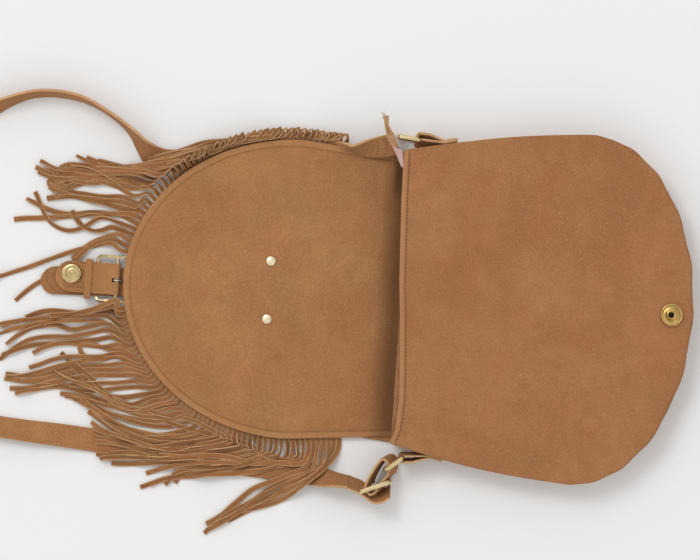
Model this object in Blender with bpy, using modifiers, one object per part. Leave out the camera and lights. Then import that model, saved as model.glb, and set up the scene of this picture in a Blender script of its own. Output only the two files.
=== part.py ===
"""A fringed suede shoulder bag lying on its back, its flap thrown open.

The bag's long axis is X: the mouth is at X = 0, the bottom at +X, and the open flap reaches to -X.
Z is up, and the back panel lies on Z = 0. Lengths in this script are in millimetres, and every mesh
is scaled by MM as it is made.
"""

import math

import bmesh
import bpy
import numpy as np
from mathutils import Matrix, Vector
from mathutils.bvhtree import BVHTree

MM = 0.001

# The suede and its seams.
SKIN = 1.2
STRAP_LEATHER = 1.0
SEAM_GAP = 0.3
SLOPED_GAP = 0.65

# The bag's body, in plan and in depth.
MOUTH_HALF_WIDTH = 116.5
BODY_HALF_WIDTH = 139.5
BODY_WIDEST = 145.0
BODY_LENGTH = 234.0
SIDE_BULGE = 4.0
BODY_DEPTH = 27.0
FRONT_CROWN = 6.0
GUSSET_INSET = 2.0
LINING_INSET = 5.0
LINING_SKIN = 0.8
LINING_START = 16.0
FACING_DEPTH = 20.0
FACING_SKIN = 1.0

# The flap, in plan.
FOLD_X = -24.0
FOLD_HEIGHT = 25.0
FLAP_ROOT_HALF_WIDTH = 114.0
FLAP_HALF_WIDTH = 119.5
FLAP_WIDEST = -85.0
FLAP_REACH = 136.5
FLAP_REST = 1.8
STRAP_LIFT = 2.6
TWIST_LIFT = 6.2
CLOSURE_LIFT = 7.6

# The shoulder strap.
STRAP_WIDTH = 18.5
STRAP_THICKNESS = 2.4

# The fringe.
BAND_WIDTH = 12.0
STRIP_WIDTH = 4.2
STRIP_THICKNESS = 1.0
STRIP_SEGMENTS = 6
CLOSURE_NOTCH = 20.5

# The closure: buckle, billet, chape and snap.
CLOSURE_Y = -1.7
BUCKLE_X = -227.0
CLOSURE_RISE_X = BUCKLE_X + 47.0
BUCKLE_HALF_LENGTH = 16.0
BUCKLE_HALF_WIDTH = 17.8
BUCKLE_WIRE = 1.4
PRONG_WIRE = 0.9
BILLET_WIDTH = 22.5
CHAPE_WIDTH = 25.0
SNAP_X = BUCKLE_X - 36.0
SNAP_Y = CLOSURE_Y + 2.2
STUD_RADIUS = 8.0
SOCKET_FROM_BOTTOM = 17.5
SOCKET_X = BODY_LENGTH - SOCKET_FROM_BOTTOM
SOCKET_Y = 0.8
SOCKET_RADIUS = 9.0
SOCKET_HOLE = 2.75
POST_RADIUS = 1.5
HOLE_CLEARANCE = 0.3
RIVET_X = -105.0
RIVET_Y = (21.5, -25.0)
RIVET_CAP_RADIUS = 4.0
RIVET_POST_RADIUS = 1.2

# The rings at the mouth's corners.
RING_WIRE = 1.7
RING_SPAN = 16.6
RING_MIDDLE = 13.7
RING_HALF_HEIGHT = 11.5

collection = bpy.data.collections.new("fringed_suede_bag")
cutters = bpy.data.collections.new("cutters")


def finish(name, colour, roughness, metallic=0.0):
    material = bpy.data.materials.new(name)
    material.use_nodes = True
    shader = material.node_tree.nodes["Principled BSDF"]
    shader.inputs["Base Color"].default_value = (*colour, 1.0)
    shader.inputs["Roughness"].default_value = roughness
    shader.inputs["Metallic"].default_value = metallic
    material.diffuse_color = (*colour, 1.0)
    return material


TAN = (0.37, 0.178, 0.073)
DARK_TAN = (0.24, 0.11, 0.045)
LINING_BROWN = (0.12, 0.07, 0.045)
GOLD = (0.78, 0.62, 0.33)
SILVER = (0.72, 0.72, 0.70)


def suede(name, colour=TAN):
    return finish(name, colour, 0.95)


def metal(name, colour=GOLD):
    return finish(name, colour, 0.28, 1.0)


def place_object(name, data, material):
    item = bpy.data.objects.new(name, data)
    collection.objects.link(item)
    data.materials.append(material)
    return item


def to_mesh(name, bm):
    mesh = bpy.data.meshes.new(name)
    bm.to_mesh(mesh)
    bm.free()
    mesh.shade_smooth()
    mesh.set_sharp_from_angle(angle=math.radians(40))
    return mesh


def sheet(name, along, across, place, thickness, material, closed=False):
    """A skin of even thickness about the surface place(u, v), u and v from 0 to 1."""
    bm = bmesh.new()
    bmesh.ops.create_grid(bm, x_segments=along, y_segments=across, size=0.5)
    for vert in bm.verts:
        vert.co = Vector(place(vert.co.x + 0.5, vert.co.y + 0.5)) * MM
    if closed:
        bmesh.ops.remove_doubles(bm, verts=bm.verts, dist=0.01 * MM)
    item = place_object(name, to_mesh(name, bm), material)
    wall = item.modifiers.new("thickness", "SOLIDIFY")
    wall.thickness = thickness * MM
    wall.offset = 0.0
    wall.use_even_offset = True
    return item


def turned(name, profile, where, material, steps=18):
    """A profile of (radius, height) points, from the top down its outer side, turned round Z."""
    mesh = bpy.data.meshes.new(name)
    count = len(profile)
    closed = profile[0][0] > 0.0
    edges = [(i, (i + 1) % count) for i in range(count if closed else count - 1)]
    mesh.from_pydata([(r * MM, 0.0, z * MM) for r, z in profile], edges, [])
    item = place_object(name, mesh, material)
    item.location = Vector(where) * MM
    screw = item.modifiers.new("turn", "SCREW")
    screw.steps = steps
    screw.render_steps = steps
    screw.use_merge_vertices = True
    screw.merge_threshold = 0.00002
    screw.use_smooth_shade = False
    return item


def wire(name, points, radius, material, cyclic=False, roundness=1):
    curve = bpy.data.curves.new(name, "CURVE")
    curve.dimensions = "3D"
    spline = curve.splines.new("POLY")
    spline.points.add(len(points) - 1)
    for point, co in zip(spline.points, points):
        point.co = (*(Vector(co) * MM), 1.0)
    spline.use_cyclic_u = cyclic
    curve.bevel_depth = radius * MM
    curve.bevel_resolution = roundness
    curve.use_fill_caps = not cyclic
    return place_object(name, curve, material)


def as_mesh(item):
    """The curve object as a mesh object of the same name, with its caps welded on."""
    bpy.context.view_layer.update()
    graph = bpy.context.evaluated_depsgraph_get()
    mesh = bpy.data.meshes.new_from_object(item.evaluated_get(graph))
    bm = bmesh.new()
    bm.from_mesh(mesh)
    bmesh.ops.remove_doubles(bm, verts=bm.verts, dist=0.001 * MM)
    bm.to_mesh(mesh)
    bm.free()
    name = item.name
    matrix = item.matrix_world.copy()
    bpy.data.objects.remove(item)
    result = bpy.data.objects.new(name, mesh)
    collection.objects.link(result)
    result.matrix_world = matrix
    return result


def make_cutter(item):
    item.hide_render = True
    item.display_type = "WIRE"
    collection.objects.unlink(item)
    cutters.objects.link(item)
    return item


def combine(item, other, operation):
    boolean = item.modifiers.new(operation.lower(), "BOOLEAN")
    boolean.operation = operation
    boolean.object = other


def drill(name, where, radius, depth):
    """A round cutter along Z."""
    bm = bmesh.new()
    bmesh.ops.create_cone(
        bm, cap_ends=True, segments=20, radius1=radius * MM, radius2=radius * MM, depth=depth * MM
    )
    bmesh.ops.translate(bm, verts=bm.verts, vec=Vector(where) * MM)
    return make_cutter(place_object(name, to_mesh(name, bm), suede(name)))


def slot_cutter(name, where, size, turn=0.0):
    bm = bmesh.new()
    bmesh.ops.create_cube(bm, size=1.0)
    bmesh.ops.scale(bm, verts=bm.verts, vec=Vector(size) * MM)
    bmesh.ops.rotate(bm, verts=bm.verts, matrix=Matrix.Rotation(turn, 3, "Z"))
    bmesh.ops.translate(bm, verts=bm.verts, vec=Vector(where) * MM)
    return make_cutter(place_object(name, to_mesh(name, bm), suede(name)))


def smooth_step(low, high, value):
    share = min(max((value - low) / (high - low), 0.0), 1.0)
    return share * share * (3.0 - 2.0 * share)


def smooth_line(points, spacing):
    """Points about this far apart on a smooth curve through the given ones."""
    knots = [Vector(p) for p in points]
    knots = [knots[0] * 2 - knots[1], *knots, knots[-1] * 2 - knots[-2]]
    fine = []
    for i in range(1, len(knots) - 2):
        before, start, end, after = knots[i - 1 : i + 3]
        for step in range(12):
            t = step / 12
            fine.append(
                0.5
                * (
                    2 * start
                    + (end - before) * t
                    + (2 * before - 5 * start + 4 * end - after) * t**2
                    + (3 * start - 3 * end + after - before) * t**3
                )
            )
    fine.append(knots[-2])
    lengths = np.concatenate([[0.0], np.cumsum([(b - a).length for a, b in zip(fine, fine[1:])])])
    count = max(2, round(lengths[-1] / spacing) + 1)
    wanted = np.linspace(0.0, lengths[-1], count)
    table = np.array(fine)
    columns = [np.interp(wanted, lengths, table[:, k]) for k in range(table.shape[1])]
    return [Vector(row) for row in np.stack(columns, axis=1)]


def line_through(points):
    """place(u) along the polyline through these points, by its length."""
    table = np.array([tuple(p) for p in points], float)
    lengths = np.concatenate([[0.0], np.cumsum(np.linalg.norm(np.diff(table, axis=0), axis=1))])
    lengths /= lengths[-1]

    def place(u):
        return [float(np.interp(u, lengths, table[:, k])) for k in range(table.shape[1])]

    return place


def tongue_plan(root_x, root_half, wide_x, wide_half, reach, bulge=0.0):
    """A tongue-shaped outline: straight sides from the root, then half an ellipse. It returns
    place(along, across), along from 0 at the root to 1 at the edge, across from -1 to 1."""

    def place(along, across):
        angle = across * math.pi / 2
        x = root_x + along * (wide_x + reach * math.cos(angle) - root_x)
        half = (1 - along) * root_half + along * wide_half + bulge * math.sin(math.pi * along)
        return x, half * math.sin(angle)

    return place


body_plan = tongue_plan(
    0.0, MOUTH_HALF_WIDTH, BODY_WIDEST, BODY_HALF_WIDTH, BODY_LENGTH - BODY_WIDEST, SIDE_BULGE
)
flap_plan = tongue_plan(
    FOLD_X - SEAM_GAP, FLAP_ROOT_HALF_WIDTH, FLAP_WIDEST, FLAP_HALF_WIDTH, -FLAP_REACH
)


def body_half_width(x):
    share = x / BODY_WIDEST
    straight = MOUTH_HALF_WIDTH + (BODY_HALF_WIDTH - MOUTH_HALF_WIDTH) * share
    return straight + SIDE_BULGE * math.sin(math.pi * share)


def neck_rise(x):
    """How far the back panel's neck has climbed towards the fold."""
    return FLAP_REST * smooth_step(0.0, -FOLD_X, -x)


def flap_bottom(x, y):
    """The underside of the flap's outer skin, lifted over the strap and the closure."""
    from_fold = smooth_step(0.0, 16.0, FOLD_X - x)
    over_strap = STRAP_LIFT * smooth_step(72.0, 82.0, y)
    over_twist = TWIST_LIFT * math.exp(-(((x + 59.0) / 15.0) ** 2) - ((y - 117.0) / 18.0) ** 2)
    beside_closure = 1 - smooth_step(20.0, 46.0, abs(y - CLOSURE_Y))
    over_closure = CLOSURE_LIFT * smooth_step(0.0, 27.0, CLOSURE_RISE_X - x) * beside_closure
    return FLAP_REST + from_fold * (over_strap + over_twist + over_closure)


# The edge of the front panel stands on the gusset, and its middle is crowned towards the mouth.
FRONT_BASE = BODY_DEPTH - SKIN


def crown_at(along, across):
    lateral = abs(math.sin(across * math.pi / 2))
    return FRONT_CROWN * (1 - lateral**6) * (1 - smooth_step(0.4, 0.85, along))


# Remove what the scene starts with.
for startup_object in list(bpy.data.objects):
    bpy.data.objects.remove(startup_object)
bpy.context.scene.collection.children.link(collection)
bpy.context.scene.collection.children.link(cutters)


# The body's panels. The back one has a neck, which reaches from the mouth to the flap's fold.
NECK_SHARE = 3 / 9


def back_surface(u, v):
    across = 2 * v - 1
    share = u / NECK_SHARE
    if share < 1:
        x = FOLD_X * (1 - share)
        half = FLAP_ROOT_HALF_WIDTH + (MOUTH_HALF_WIDTH - FLAP_ROOT_HALF_WIDTH) * share
        return x, half * math.sin(across * math.pi / 2), neck_rise(x) + SKIN / 2
    x, y = body_plan((u - NECK_SHARE) / (1 - NECK_SHARE), across)
    return x, y, SKIN / 2


def front_surface(u, v):
    across = 2 * v - 1
    x, y = body_plan(u, across)
    return x, y, FRONT_BASE + crown_at(u, across) + SKIN / 2


sheet("back_panel", 9, 14, back_surface, SKIN, suede("back_suede"))
front_panel = sheet("front_panel", 12, 14, front_surface, SKIN, suede("front_suede"))


def edge_path(inset, start, count):
    """Points round the body's side and bottom, this far inside its outline."""
    points = [
        (x, body_half_width(x) - inset) for x in np.linspace(start, BODY_WIDEST, count, endpoint=False)
    ]
    reach = BODY_LENGTH - BODY_WIDEST - inset
    for angle in np.linspace(90.0, -90.0, 2 * count + 1):
        turn = math.radians(angle)
        points.append(
            (BODY_WIDEST + reach * math.cos(turn), (BODY_HALF_WIDTH - inset) * math.sin(turn))
        )
    points += [(x, -y) for x, y in reversed(points[:count])]
    return points


GUSSET_FOOT = SKIN + SEAM_GAP
GUSSET_TOP = FRONT_BASE - SEAM_GAP
gusset_line = line_through(edge_path(GUSSET_INSET, 1.0, 7))


def gusset_surface(u, v):
    x, y = gusset_line(u)
    return x, y, GUSSET_FOOT + (GUSSET_TOP - GUSSET_FOOT) * v


sheet("gusset", 32, 1, gusset_surface, SKIN, suede("gusset_suede"))

lining_plan = tongue_plan(
    LINING_START,
    body_half_width(LINING_START) - LINING_INSET,
    BODY_WIDEST,
    BODY_HALF_WIDTH - LINING_INSET,
    BODY_LENGTH - BODY_WIDEST - LINING_INSET,
    SIDE_BULGE,
)
LINING_FLOOR = SKIN + SEAM_GAP + FACING_SKIN + SEAM_GAP + LINING_SKIN / 2
LINING_ROOF = FRONT_BASE - SEAM_GAP - FACING_SKIN - SEAM_GAP - LINING_SKIN / 2


def lining_surface(u, v):
    """A flat pouch: v goes once round its section, and u runs from its mouth to its closed end."""
    turn = v % 1.0
    upper = turn < 0.5
    across = 1 - 4 * turn if upper else 4 * turn - 3
    along = min(u, 0.985)
    x, y = lining_plan(along, across)
    lateral = abs(math.sin(across * math.pi / 2))
    crown = 0.6 * crown_at(along, across)
    open_share = 1 - smooth_step(0.93, 1.0, u) if u < 1.0 else 0.0
    middle = (LINING_FLOOR + LINING_ROOF) / 2
    half = (LINING_ROOF - LINING_FLOOR) / 2
    side = 1 - 0.75 * lateral**10
    if u >= 1.0:
        return x + 1.5, y, middle
    height = half * side * max(open_share, 0.25)
    return x, y, middle + (height + crown if upper else -height)


sheet("lining", 8, 20, lining_surface, LINING_SKIN, finish("lining_cloth", LINING_BROWN, 0.9), True)


FACING_HALF_WIDTH = FLAP_ROOT_HALF_WIDTH - 2.0


def front_facing_surface(u, v):
    across = 2 * v - 1
    y = FACING_HALF_WIDTH * math.sin(across * math.pi / 2)
    return 0.5 + FACING_DEPTH * u, y, FRONT_BASE + crown_at(0, across) - SEAM_GAP - FACING_SKIN / 2


def back_facing_surface(u, v):
    x = FOLD_X + (FACING_DEPTH - FOLD_X) * u
    height = neck_rise(x) + SKIN + SEAM_GAP + FACING_SKIN / 2
    return x, (2 * v - 1) * FACING_HALF_WIDTH, height


sheet("front_facing", 1, 14, front_facing_surface, FACING_SKIN, suede("facing_suede", DARK_TAN))
sheet("back_facing", 6, 4, back_facing_surface, FACING_SKIN, suede("facing_back_suede"))

# The facing's far end hangs out of the mouth as a frayed strip, over the ring.
FRAYED_ROUTE = [
    (6, 94, 27.1), (-2, 103, 25.7), (-8, 112, 27.4), (-13, 121, 28.5), (-19, 133, 28.5), (-23, 143, 27.0),
]
FRAYED_WIDTH = 7.5
FRAYED_ROOT_SHARE = 0.45
frayed_line = line_through(smooth_line(FRAYED_ROUTE, 5.0))


def frayed_surface(u, v):
    x, y, z = frayed_line(u)
    width = FRAYED_WIDTH * (FRAYED_ROOT_SHARE + (1 - FRAYED_ROOT_SHARE) * smooth_step(0.0, 0.35, u))
    return x + (v - 0.5) * width, y + 0.4 * (v - 0.5) * width, z


sheet("facing_end", 8, 1, frayed_surface, FACING_SKIN, suede("facing_end_suede"))


# The rings and the tabs that hold them. Each ring stands on edge, its bars along Z.
def loop_about(centre, radius, first, last, steps=6):
    """An arc round a bar, in plan, from one angle to the other in degrees."""
    return [
        (
            centre[0] + radius * math.cos(math.radians(a)),
            centre[1] + radius * math.sin(math.radians(a)),
        )
        for a in np.linspace(first, last, steps)
    ]


def upright_strap(name, path, thickness, material, closed=False):
    """Strap leather on edge: a path in plan, its width along Z."""
    stops = path + path[:1] if closed else path
    count = len(stops) - 1
    low = RING_MIDDLE - STRAP_WIDTH / 2

    def surface(u, v):
        return (*stops[round(u * count)], low + STRAP_WIDTH * v)

    return sheet(name, count, 1, surface, thickness, material, closed)


def ring(name, inner_bar, outer_bar, material):
    """A rectangular ring with round corners, upright between its two bars."""
    start = Vector((*inner_bar, 0.0))
    end = Vector((*outer_bar, 0.0))
    corner = 2.4
    span = (end - start).length
    direction = (end - start).normalized()
    points = []
    for cx, cz, first in (
        (corner, -RING_HALF_HEIGHT + corner, 180),
        (span - corner, -RING_HALF_HEIGHT + corner, 270),
        (span - corner, RING_HALF_HEIGHT - corner, 0),
        (corner, RING_HALF_HEIGHT - corner, 90),
    ):
        for angle in np.linspace(first, first + 90, 4):
            turn = math.radians(angle)
            out = cx + corner * math.cos(turn)
            up = cz + corner * math.sin(turn)
            point = start + direction * out
            points.append((point.x, point.y, RING_MIDDLE + up))
    return wire(name, points, RING_WIRE, material, cyclic=True)


LOOP_RADIUS = RING_WIRE + SEAM_GAP + STRAP_LEATHER / 2
INNER_LAYER = GUSSET_INSET - SKIN / 2 - SEAM_GAP - STRAP_LEATHER / 2
OUTER_LAYER = INNER_LAYER - STRAP_LEATHER - SEAM_GAP
FAR_BAR_X = 6.5
NEAR_BAR_X = 10.5
FAR_RING_STAND = 7.7
NEAR_RING_STAND = 8.5
FAR_INNER_BAR = (FAR_BAR_X, body_half_width(FAR_BAR_X) + FAR_RING_STAND)
FAR_DIRECTION = (-0.993, 0.12)
NEAR_INNER_BAR = (NEAR_BAR_X, -body_half_width(NEAR_BAR_X) - NEAR_RING_STAND)
NEAR_DIRECTION = (-0.77, -0.638)


def along_from(point, direction, distance):
    return point[0] + direction[0] * distance, point[1] + direction[1] * distance


def beside(point, offsets):
    """Places given by their distance from a point."""
    return [(point[0] + x, point[1] + y) for x, y in offsets]


FAR_OUTER_BAR = along_from(FAR_INNER_BAR, FAR_DIRECTION, RING_SPAN)
NEAR_OUTER_BAR = along_from(NEAR_INNER_BAR, NEAR_DIRECTION, RING_SPAN)
FAR_TAB_END = 36.0
NEAR_TAB_END = 42.0


def ring_tab(name, bar, end_x, side):
    """Two layers sewn to the gusset, folded round the ring's bar. side is 1 at the far corner."""
    path = [(end_x, side * (body_half_width(end_x) - INNER_LAYER))]
    path.append((end_x - 10, side * (body_half_width(end_x - 10) - INNER_LAYER)))
    path.append((bar[0] + 8.0, side * (abs(bar[1]) - LOOP_RADIUS - 0.5)))
    path += [
        (x, side * y)
        for x, y in loop_about((bar[0], abs(bar[1])), LOOP_RADIUS, -80, -280, 7)
    ]
    path.append((bar[0] + 8.0, side * (abs(bar[1]) + LOOP_RADIUS - 0.6)))
    path.append((end_x - 10, side * (body_half_width(end_x - 10) - OUTER_LAYER)))
    path.append((end_x, side * (body_half_width(end_x) - OUTER_LAYER)))
    return upright_strap(name, path, STRAP_LEATHER, suede(name + "_suede"))


ring_tab("far_ring_tab", FAR_INNER_BAR, FAR_TAB_END, 1)
ring_tab("near_ring_tab", NEAR_INNER_BAR, NEAR_TAB_END, -1)
ring("far_ring", FAR_INNER_BAR, FAR_OUTER_BAR, metal("far_ring_gold"))
ring("near_ring", NEAR_INNER_BAR, NEAR_OUTER_BAR, metal("near_ring_gold"))

# The strap's far end is folded round the ring and sewn to itself.
end_loop_path = beside(FAR_OUTER_BAR, [(-23.0, -9.3), (-11.0, -5.4)])
end_loop_path += loop_about(FAR_OUTER_BAR, LOOP_RADIUS, -125, 125, 8)
end_loop_path += beside(FAR_OUTER_BAR, [(-10.4, -3.4), (-22.8, -7.8)])
upright_strap("strap_end_loop", end_loop_path, STRAP_LEATHER, suede("end_loop_suede"))

# The near chape is one closed loop round the ring's outer bar and the buckle's centre bar.
STRAP_BAR = beside(NEAR_OUTER_BAR, [(-7.2, -14.2)])[0]
CHAPE_LOOP = beside(
    STRAP_BAR,
    [
        (6.5, 23.9), (1.5, 16.4), (-3.7, 5.4), (-4.1, -0.6), (-0.1, -4.8),
        (4.1, -1.6), (6.9, 4.9), (12.5, 11.9), (12.7, 19.9), (10.5, 23.8),
    ],
)


def plan_line(points, spacing):
    return [tuple(p)[:2] for p in smooth_line([(*p, 0) for p in points], spacing)]


chape_points = plan_line(CHAPE_LOOP + CHAPE_LOOP[:1], 3.0)[:-1]
strap_chape = upright_strap(
    "strap_chape", chape_points, STRAP_LEATHER, suede("strap_chape_suede"), closed=True
)

STRAP_BUCKLE_TURN = math.radians(23.0)
STRAP_BUCKLE_HALF_LENGTH = 12.8
BUCKLE_CORNER = 4.0


def buckle_frame(name, half_length, half_width, rise, matrix, material):
    """A wire frame with round corners, bowed up by rise to its centre bar, in its own plane."""
    points = []
    for sx, sy, first in ((1, 1, 0), (-1, 1, 90), (-1, -1, 180), (1, -1, 270)):
        cx = sx * (half_length - BUCKLE_CORNER)
        cy = sy * (half_width - BUCKLE_CORNER)
        for angle in np.linspace(first, first + 90, 4):
            turn = math.radians(angle)
            x = cx + BUCKLE_CORNER * math.cos(turn)
            points.append((x, cy + BUCKLE_CORNER * math.sin(turn), rise * (1 - (x / half_length) ** 2)))
        if sx == sy:
            middle = 0.5 * half_length * sx
            points += [
                (x, sy * half_width, rise * (1 - (x / half_length) ** 2)) for x in (middle, 0.0, -middle)
            ]
    frame = as_mesh(wire(name, points, BUCKLE_WIRE, material, cyclic=True))
    bar = wire(name + "_bar", [(0, -half_width, rise), (0, half_width, rise)], BUCKLE_WIRE * 0.98, material)
    bar = make_cutter(as_mesh(bar))
    for item in (frame, bar):
        item.data.transform(matrix)
    combine(frame, bar, "UNION")
    frame.data.shade_smooth()
    return frame


strap_buckle_matrix = Matrix.Translation(Vector((*STRAP_BAR, RING_MIDDLE)) * MM)
strap_buckle_matrix @= Matrix.Rotation(STRAP_BUCKLE_TURN, 4, "Z") @ Matrix.Rotation(math.pi / 2, 4, "X")
buckle_frame(
    "strap_buckle",
    STRAP_BUCKLE_HALF_LENGTH,
    RING_HALF_HEIGHT,
    0.0,
    strap_buckle_matrix,
    metal("strap_buckle_gold"),
)

TAIL_ROUTE = beside(
    STRAP_BAR,
    [
        (-21.5, 2.0), (-16.5, 0.2), (-11.9, -1.0), (-7.5, -4.0), (-3.1, -7.0), (1.5, -8.2), (7.5, -6.6),
        (12.0, -3.1),
    ],
)
strap_tail = upright_strap("strap_tail", plan_line(TAIL_ROUTE, 3.0), SKIN, suede("strap_tail_suede"))


# Each prong hooks over its bar, runs through the leather and lies against the frame's end bar.
def prong_points(reach, drop):
    hook = BUCKLE_WIRE + SEAM_GAP + PRONG_WIRE
    turns = [math.radians(angle) for angle in (200, 165, 130, 90, 50, 15)]
    points = [(hook * math.cos(turn), hook * math.sin(turn)) for turn in turns]
    points += [(6.0, -0.22 * drop), (reach - 4.6, -drop), (reach, -drop)]
    return points


STRAP_PRONG_DROP = BUCKLE_WIRE + SEAM_GAP + PRONG_WIRE
strap_prong_line = [
    Matrix.Rotation(STRAP_BUCKLE_TURN, 3, "Z") @ Vector((-out, up, 0.0))
    for out, up in prong_points(STRAP_BUCKLE_HALF_LENGTH + 1.2, STRAP_PRONG_DROP)
]
wire(
    "strap_prong",
    [(STRAP_BAR[0] + p.x, STRAP_BAR[1] + p.y, RING_MIDDLE) for p in strap_prong_line],
    PRONG_WIRE,
    metal("strap_prong_silver", SILVER),
)
PRONG_SLOT = 2 * PRONG_WIRE + 2 * HOLE_CLEARANCE + 0.6
slot_at = slot_cutter(
    "strap_prong_slot",
    (STRAP_BAR[0] - 5.6, STRAP_BAR[1] - 2.4, RING_MIDDLE),
    (17.0, 8.4, PRONG_SLOT),
    STRAP_BUCKLE_TURN,
)
combine(strap_chape, slot_at, "DIFFERENCE")
combine(strap_tail, slot_at, "DIFFERENCE")

# The shoulder strap. Its points are its middle line, with the tilt of its face in degrees.
STRAP_ROUTE = [
    (-35.5, 119.6, 84), (-42, 120.4, 66), (-49, 118, 44), (-57, 114.6, 24), (-67, 111, 9),
    (-80, 108.4, 0), (-100, 107.4, 0), (-125, 106.6, 0), (-150, 103, 0), (-172, 98.5, 0),
    (-190, 95.6, 4), (-203, 97.6, 12), (-213, 105.5, 44), (-222, 115.5, 66), (-233, 124.5, 74),
    (-247, 133, 82), (-262, 139.6, 74), (-278, 142.6, 68), (-294, 142.8, 66), (-310, 139.4, 62),
    (-330, 130, 54), (-352, 114, 34), (-372, 92, 12), (-387, 66, 0), (-395, 36, 0),
    (-397, 4, 0), (-394, -28, 0), (-385, -58, 0), (-370, -86, 0), (-349, -108, 6),
    (-322, -123.5, 26), (-296, -127.2, 24), (-264, -129.2, 12), (-235, -131.4, 0), (-191, -134.5, 0),
    (-151, -139, 0), (-112, -142.4, 0), (-88, -143.6, 0), (-72, -145, 6), (-60, -146.6, 28),
    (-48, -148.4, 62), (-40, -149.2, 82), (-33.4, -149.9, 88),
]


STRAP_FOOT = 0.15
MOST_TILT = 88.0


def strap_rests(x, tilt):
    """Only the ends by the rings are held up at the rings' height."""
    held = smooth_step(-48.0, -35.0, x)
    turn = math.radians(tilt)
    floor = STRAP_FOOT + (STRAP_WIDTH * math.sin(turn) + STRAP_THICKNESS * math.cos(turn)) / 2
    return floor + (RING_MIDDLE - floor) * held


strap_line = line_through(smooth_line(STRAP_ROUTE, 14.0))


def strap_surface(u, v):
    x, y, tilt = strap_line(u)
    ahead = strap_line(min(u + 0.004, 1.0))
    behind = strap_line(max(u - 0.004, 0.0))
    heading = Vector((ahead[0] - behind[0], ahead[1] - behind[1], 0.0)).normalized()
    outward = Vector((heading.y, -heading.x, 0.0))
    turn = math.radians(min(max(tilt, 0.0), MOST_TILT))
    side = outward * math.cos(turn) + Vector((0, 0, 1)) * math.sin(turn)
    middle = Vector((x, y, strap_rests(x, max(tilt, 0.0))))
    return middle + side * STRAP_WIDTH * (v - 0.5)


STRAP_SEGMENTS = 74
sheet("shoulder_strap", STRAP_SEGMENTS, 1, strap_surface, STRAP_THICKNESS, suede("strap_suede"))


# The flap's two skins.
def flap_skin(lift):
    def surface(u, v):
        x, y = flap_plan(u, 2 * v - 1)
        return x, y, flap_bottom(x, y) + lift

    return surface


flap_outer = sheet("flap_outer", 10, 16, flap_skin(SKIN / 2), SKIN, suede("flap_outer_suede"))
flap_tree = BVHTree.FromPolygons(
    [tuple(vert.co) for vert in flap_outer.data.vertices],
    [tuple(face.vertices) for face in flap_outer.data.polygons],
)


def flap_underside(x, y):
    """The underside as flap_outer's facets have it, or the nearest part of its edge."""
    above = Vector((x * MM, y * MM, 1.0))
    hit = flap_tree.ray_cast(above, Vector((0, 0, -1)))[0]
    if hit is None:
        hit = flap_tree.find_nearest(Vector((x, y, flap_bottom(x, y))) * MM)[0]
    return hit.z / MM - SKIN / 2


flap_lining = sheet(
    "flap_lining", 10, 16, flap_skin(SKIN + SEAM_GAP + SKIN / 2), SKIN, suede("flap_lining_suede")
)

# Double-cap rivets: a post with a flange under the flap, and a cap pressed on it above.
FLAP_STACK = 2 * SKIN + SEAM_GAP
RIVET_FLANGE = 1.0
for end, rivet_y in zip(("far", "near"), RIVET_Y):
    underside = flap_bottom(RIVET_X, rivet_y)
    flange_top = underside - SEAM_GAP
    cap_foot = underside + FLAP_STACK + SEAM_GAP
    turned(
        f"rivet_post_{end}",
        [
            (0.0, cap_foot + 0.5),
            (RIVET_POST_RADIUS, cap_foot + 0.5),
            (RIVET_POST_RADIUS, flange_top),
            (RIVET_CAP_RADIUS - 0.5, flange_top),
            (RIVET_CAP_RADIUS - 0.5, flange_top - 0.6),
            (RIVET_CAP_RADIUS - 1.3, flange_top - RIVET_FLANGE),
            (0.0, flange_top - RIVET_FLANGE),
        ],
        (RIVET_X, rivet_y, 0.0),
        metal(f"rivet_post_{end}_gold"),
        steps=12,
    )
    turned(
        f"rivet_cap_{end}",
        [
            (0.0, cap_foot + 1.6),
            (RIVET_CAP_RADIUS - 2.0, cap_foot + 1.5),
            (RIVET_CAP_RADIUS - 0.8, cap_foot + 1.2),
            (RIVET_CAP_RADIUS, cap_foot + 0.6),
            (RIVET_CAP_RADIUS, cap_foot + 0.1),
            (RIVET_CAP_RADIUS - 0.3, cap_foot),
            (RIVET_POST_RADIUS + HOLE_CLEARANCE, cap_foot),
            (RIVET_POST_RADIUS + HOLE_CLEARANCE, cap_foot + 0.8),
            (0.0, cap_foot + 0.8),
        ],
        (RIVET_X, rivet_y, 0.0),
        metal(f"rivet_cap_{end}_gold"),
        steps=12,
    )
    hole = drill(
        f"rivet_hole_{end}", (RIVET_X, rivet_y, underside), RIVET_POST_RADIUS + HOLE_CLEARANCE, 30.0
    )
    combine(flap_outer, hole, "DIFFERENCE")
    combine(flap_lining, hole, "DIFFERENCE")


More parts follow.
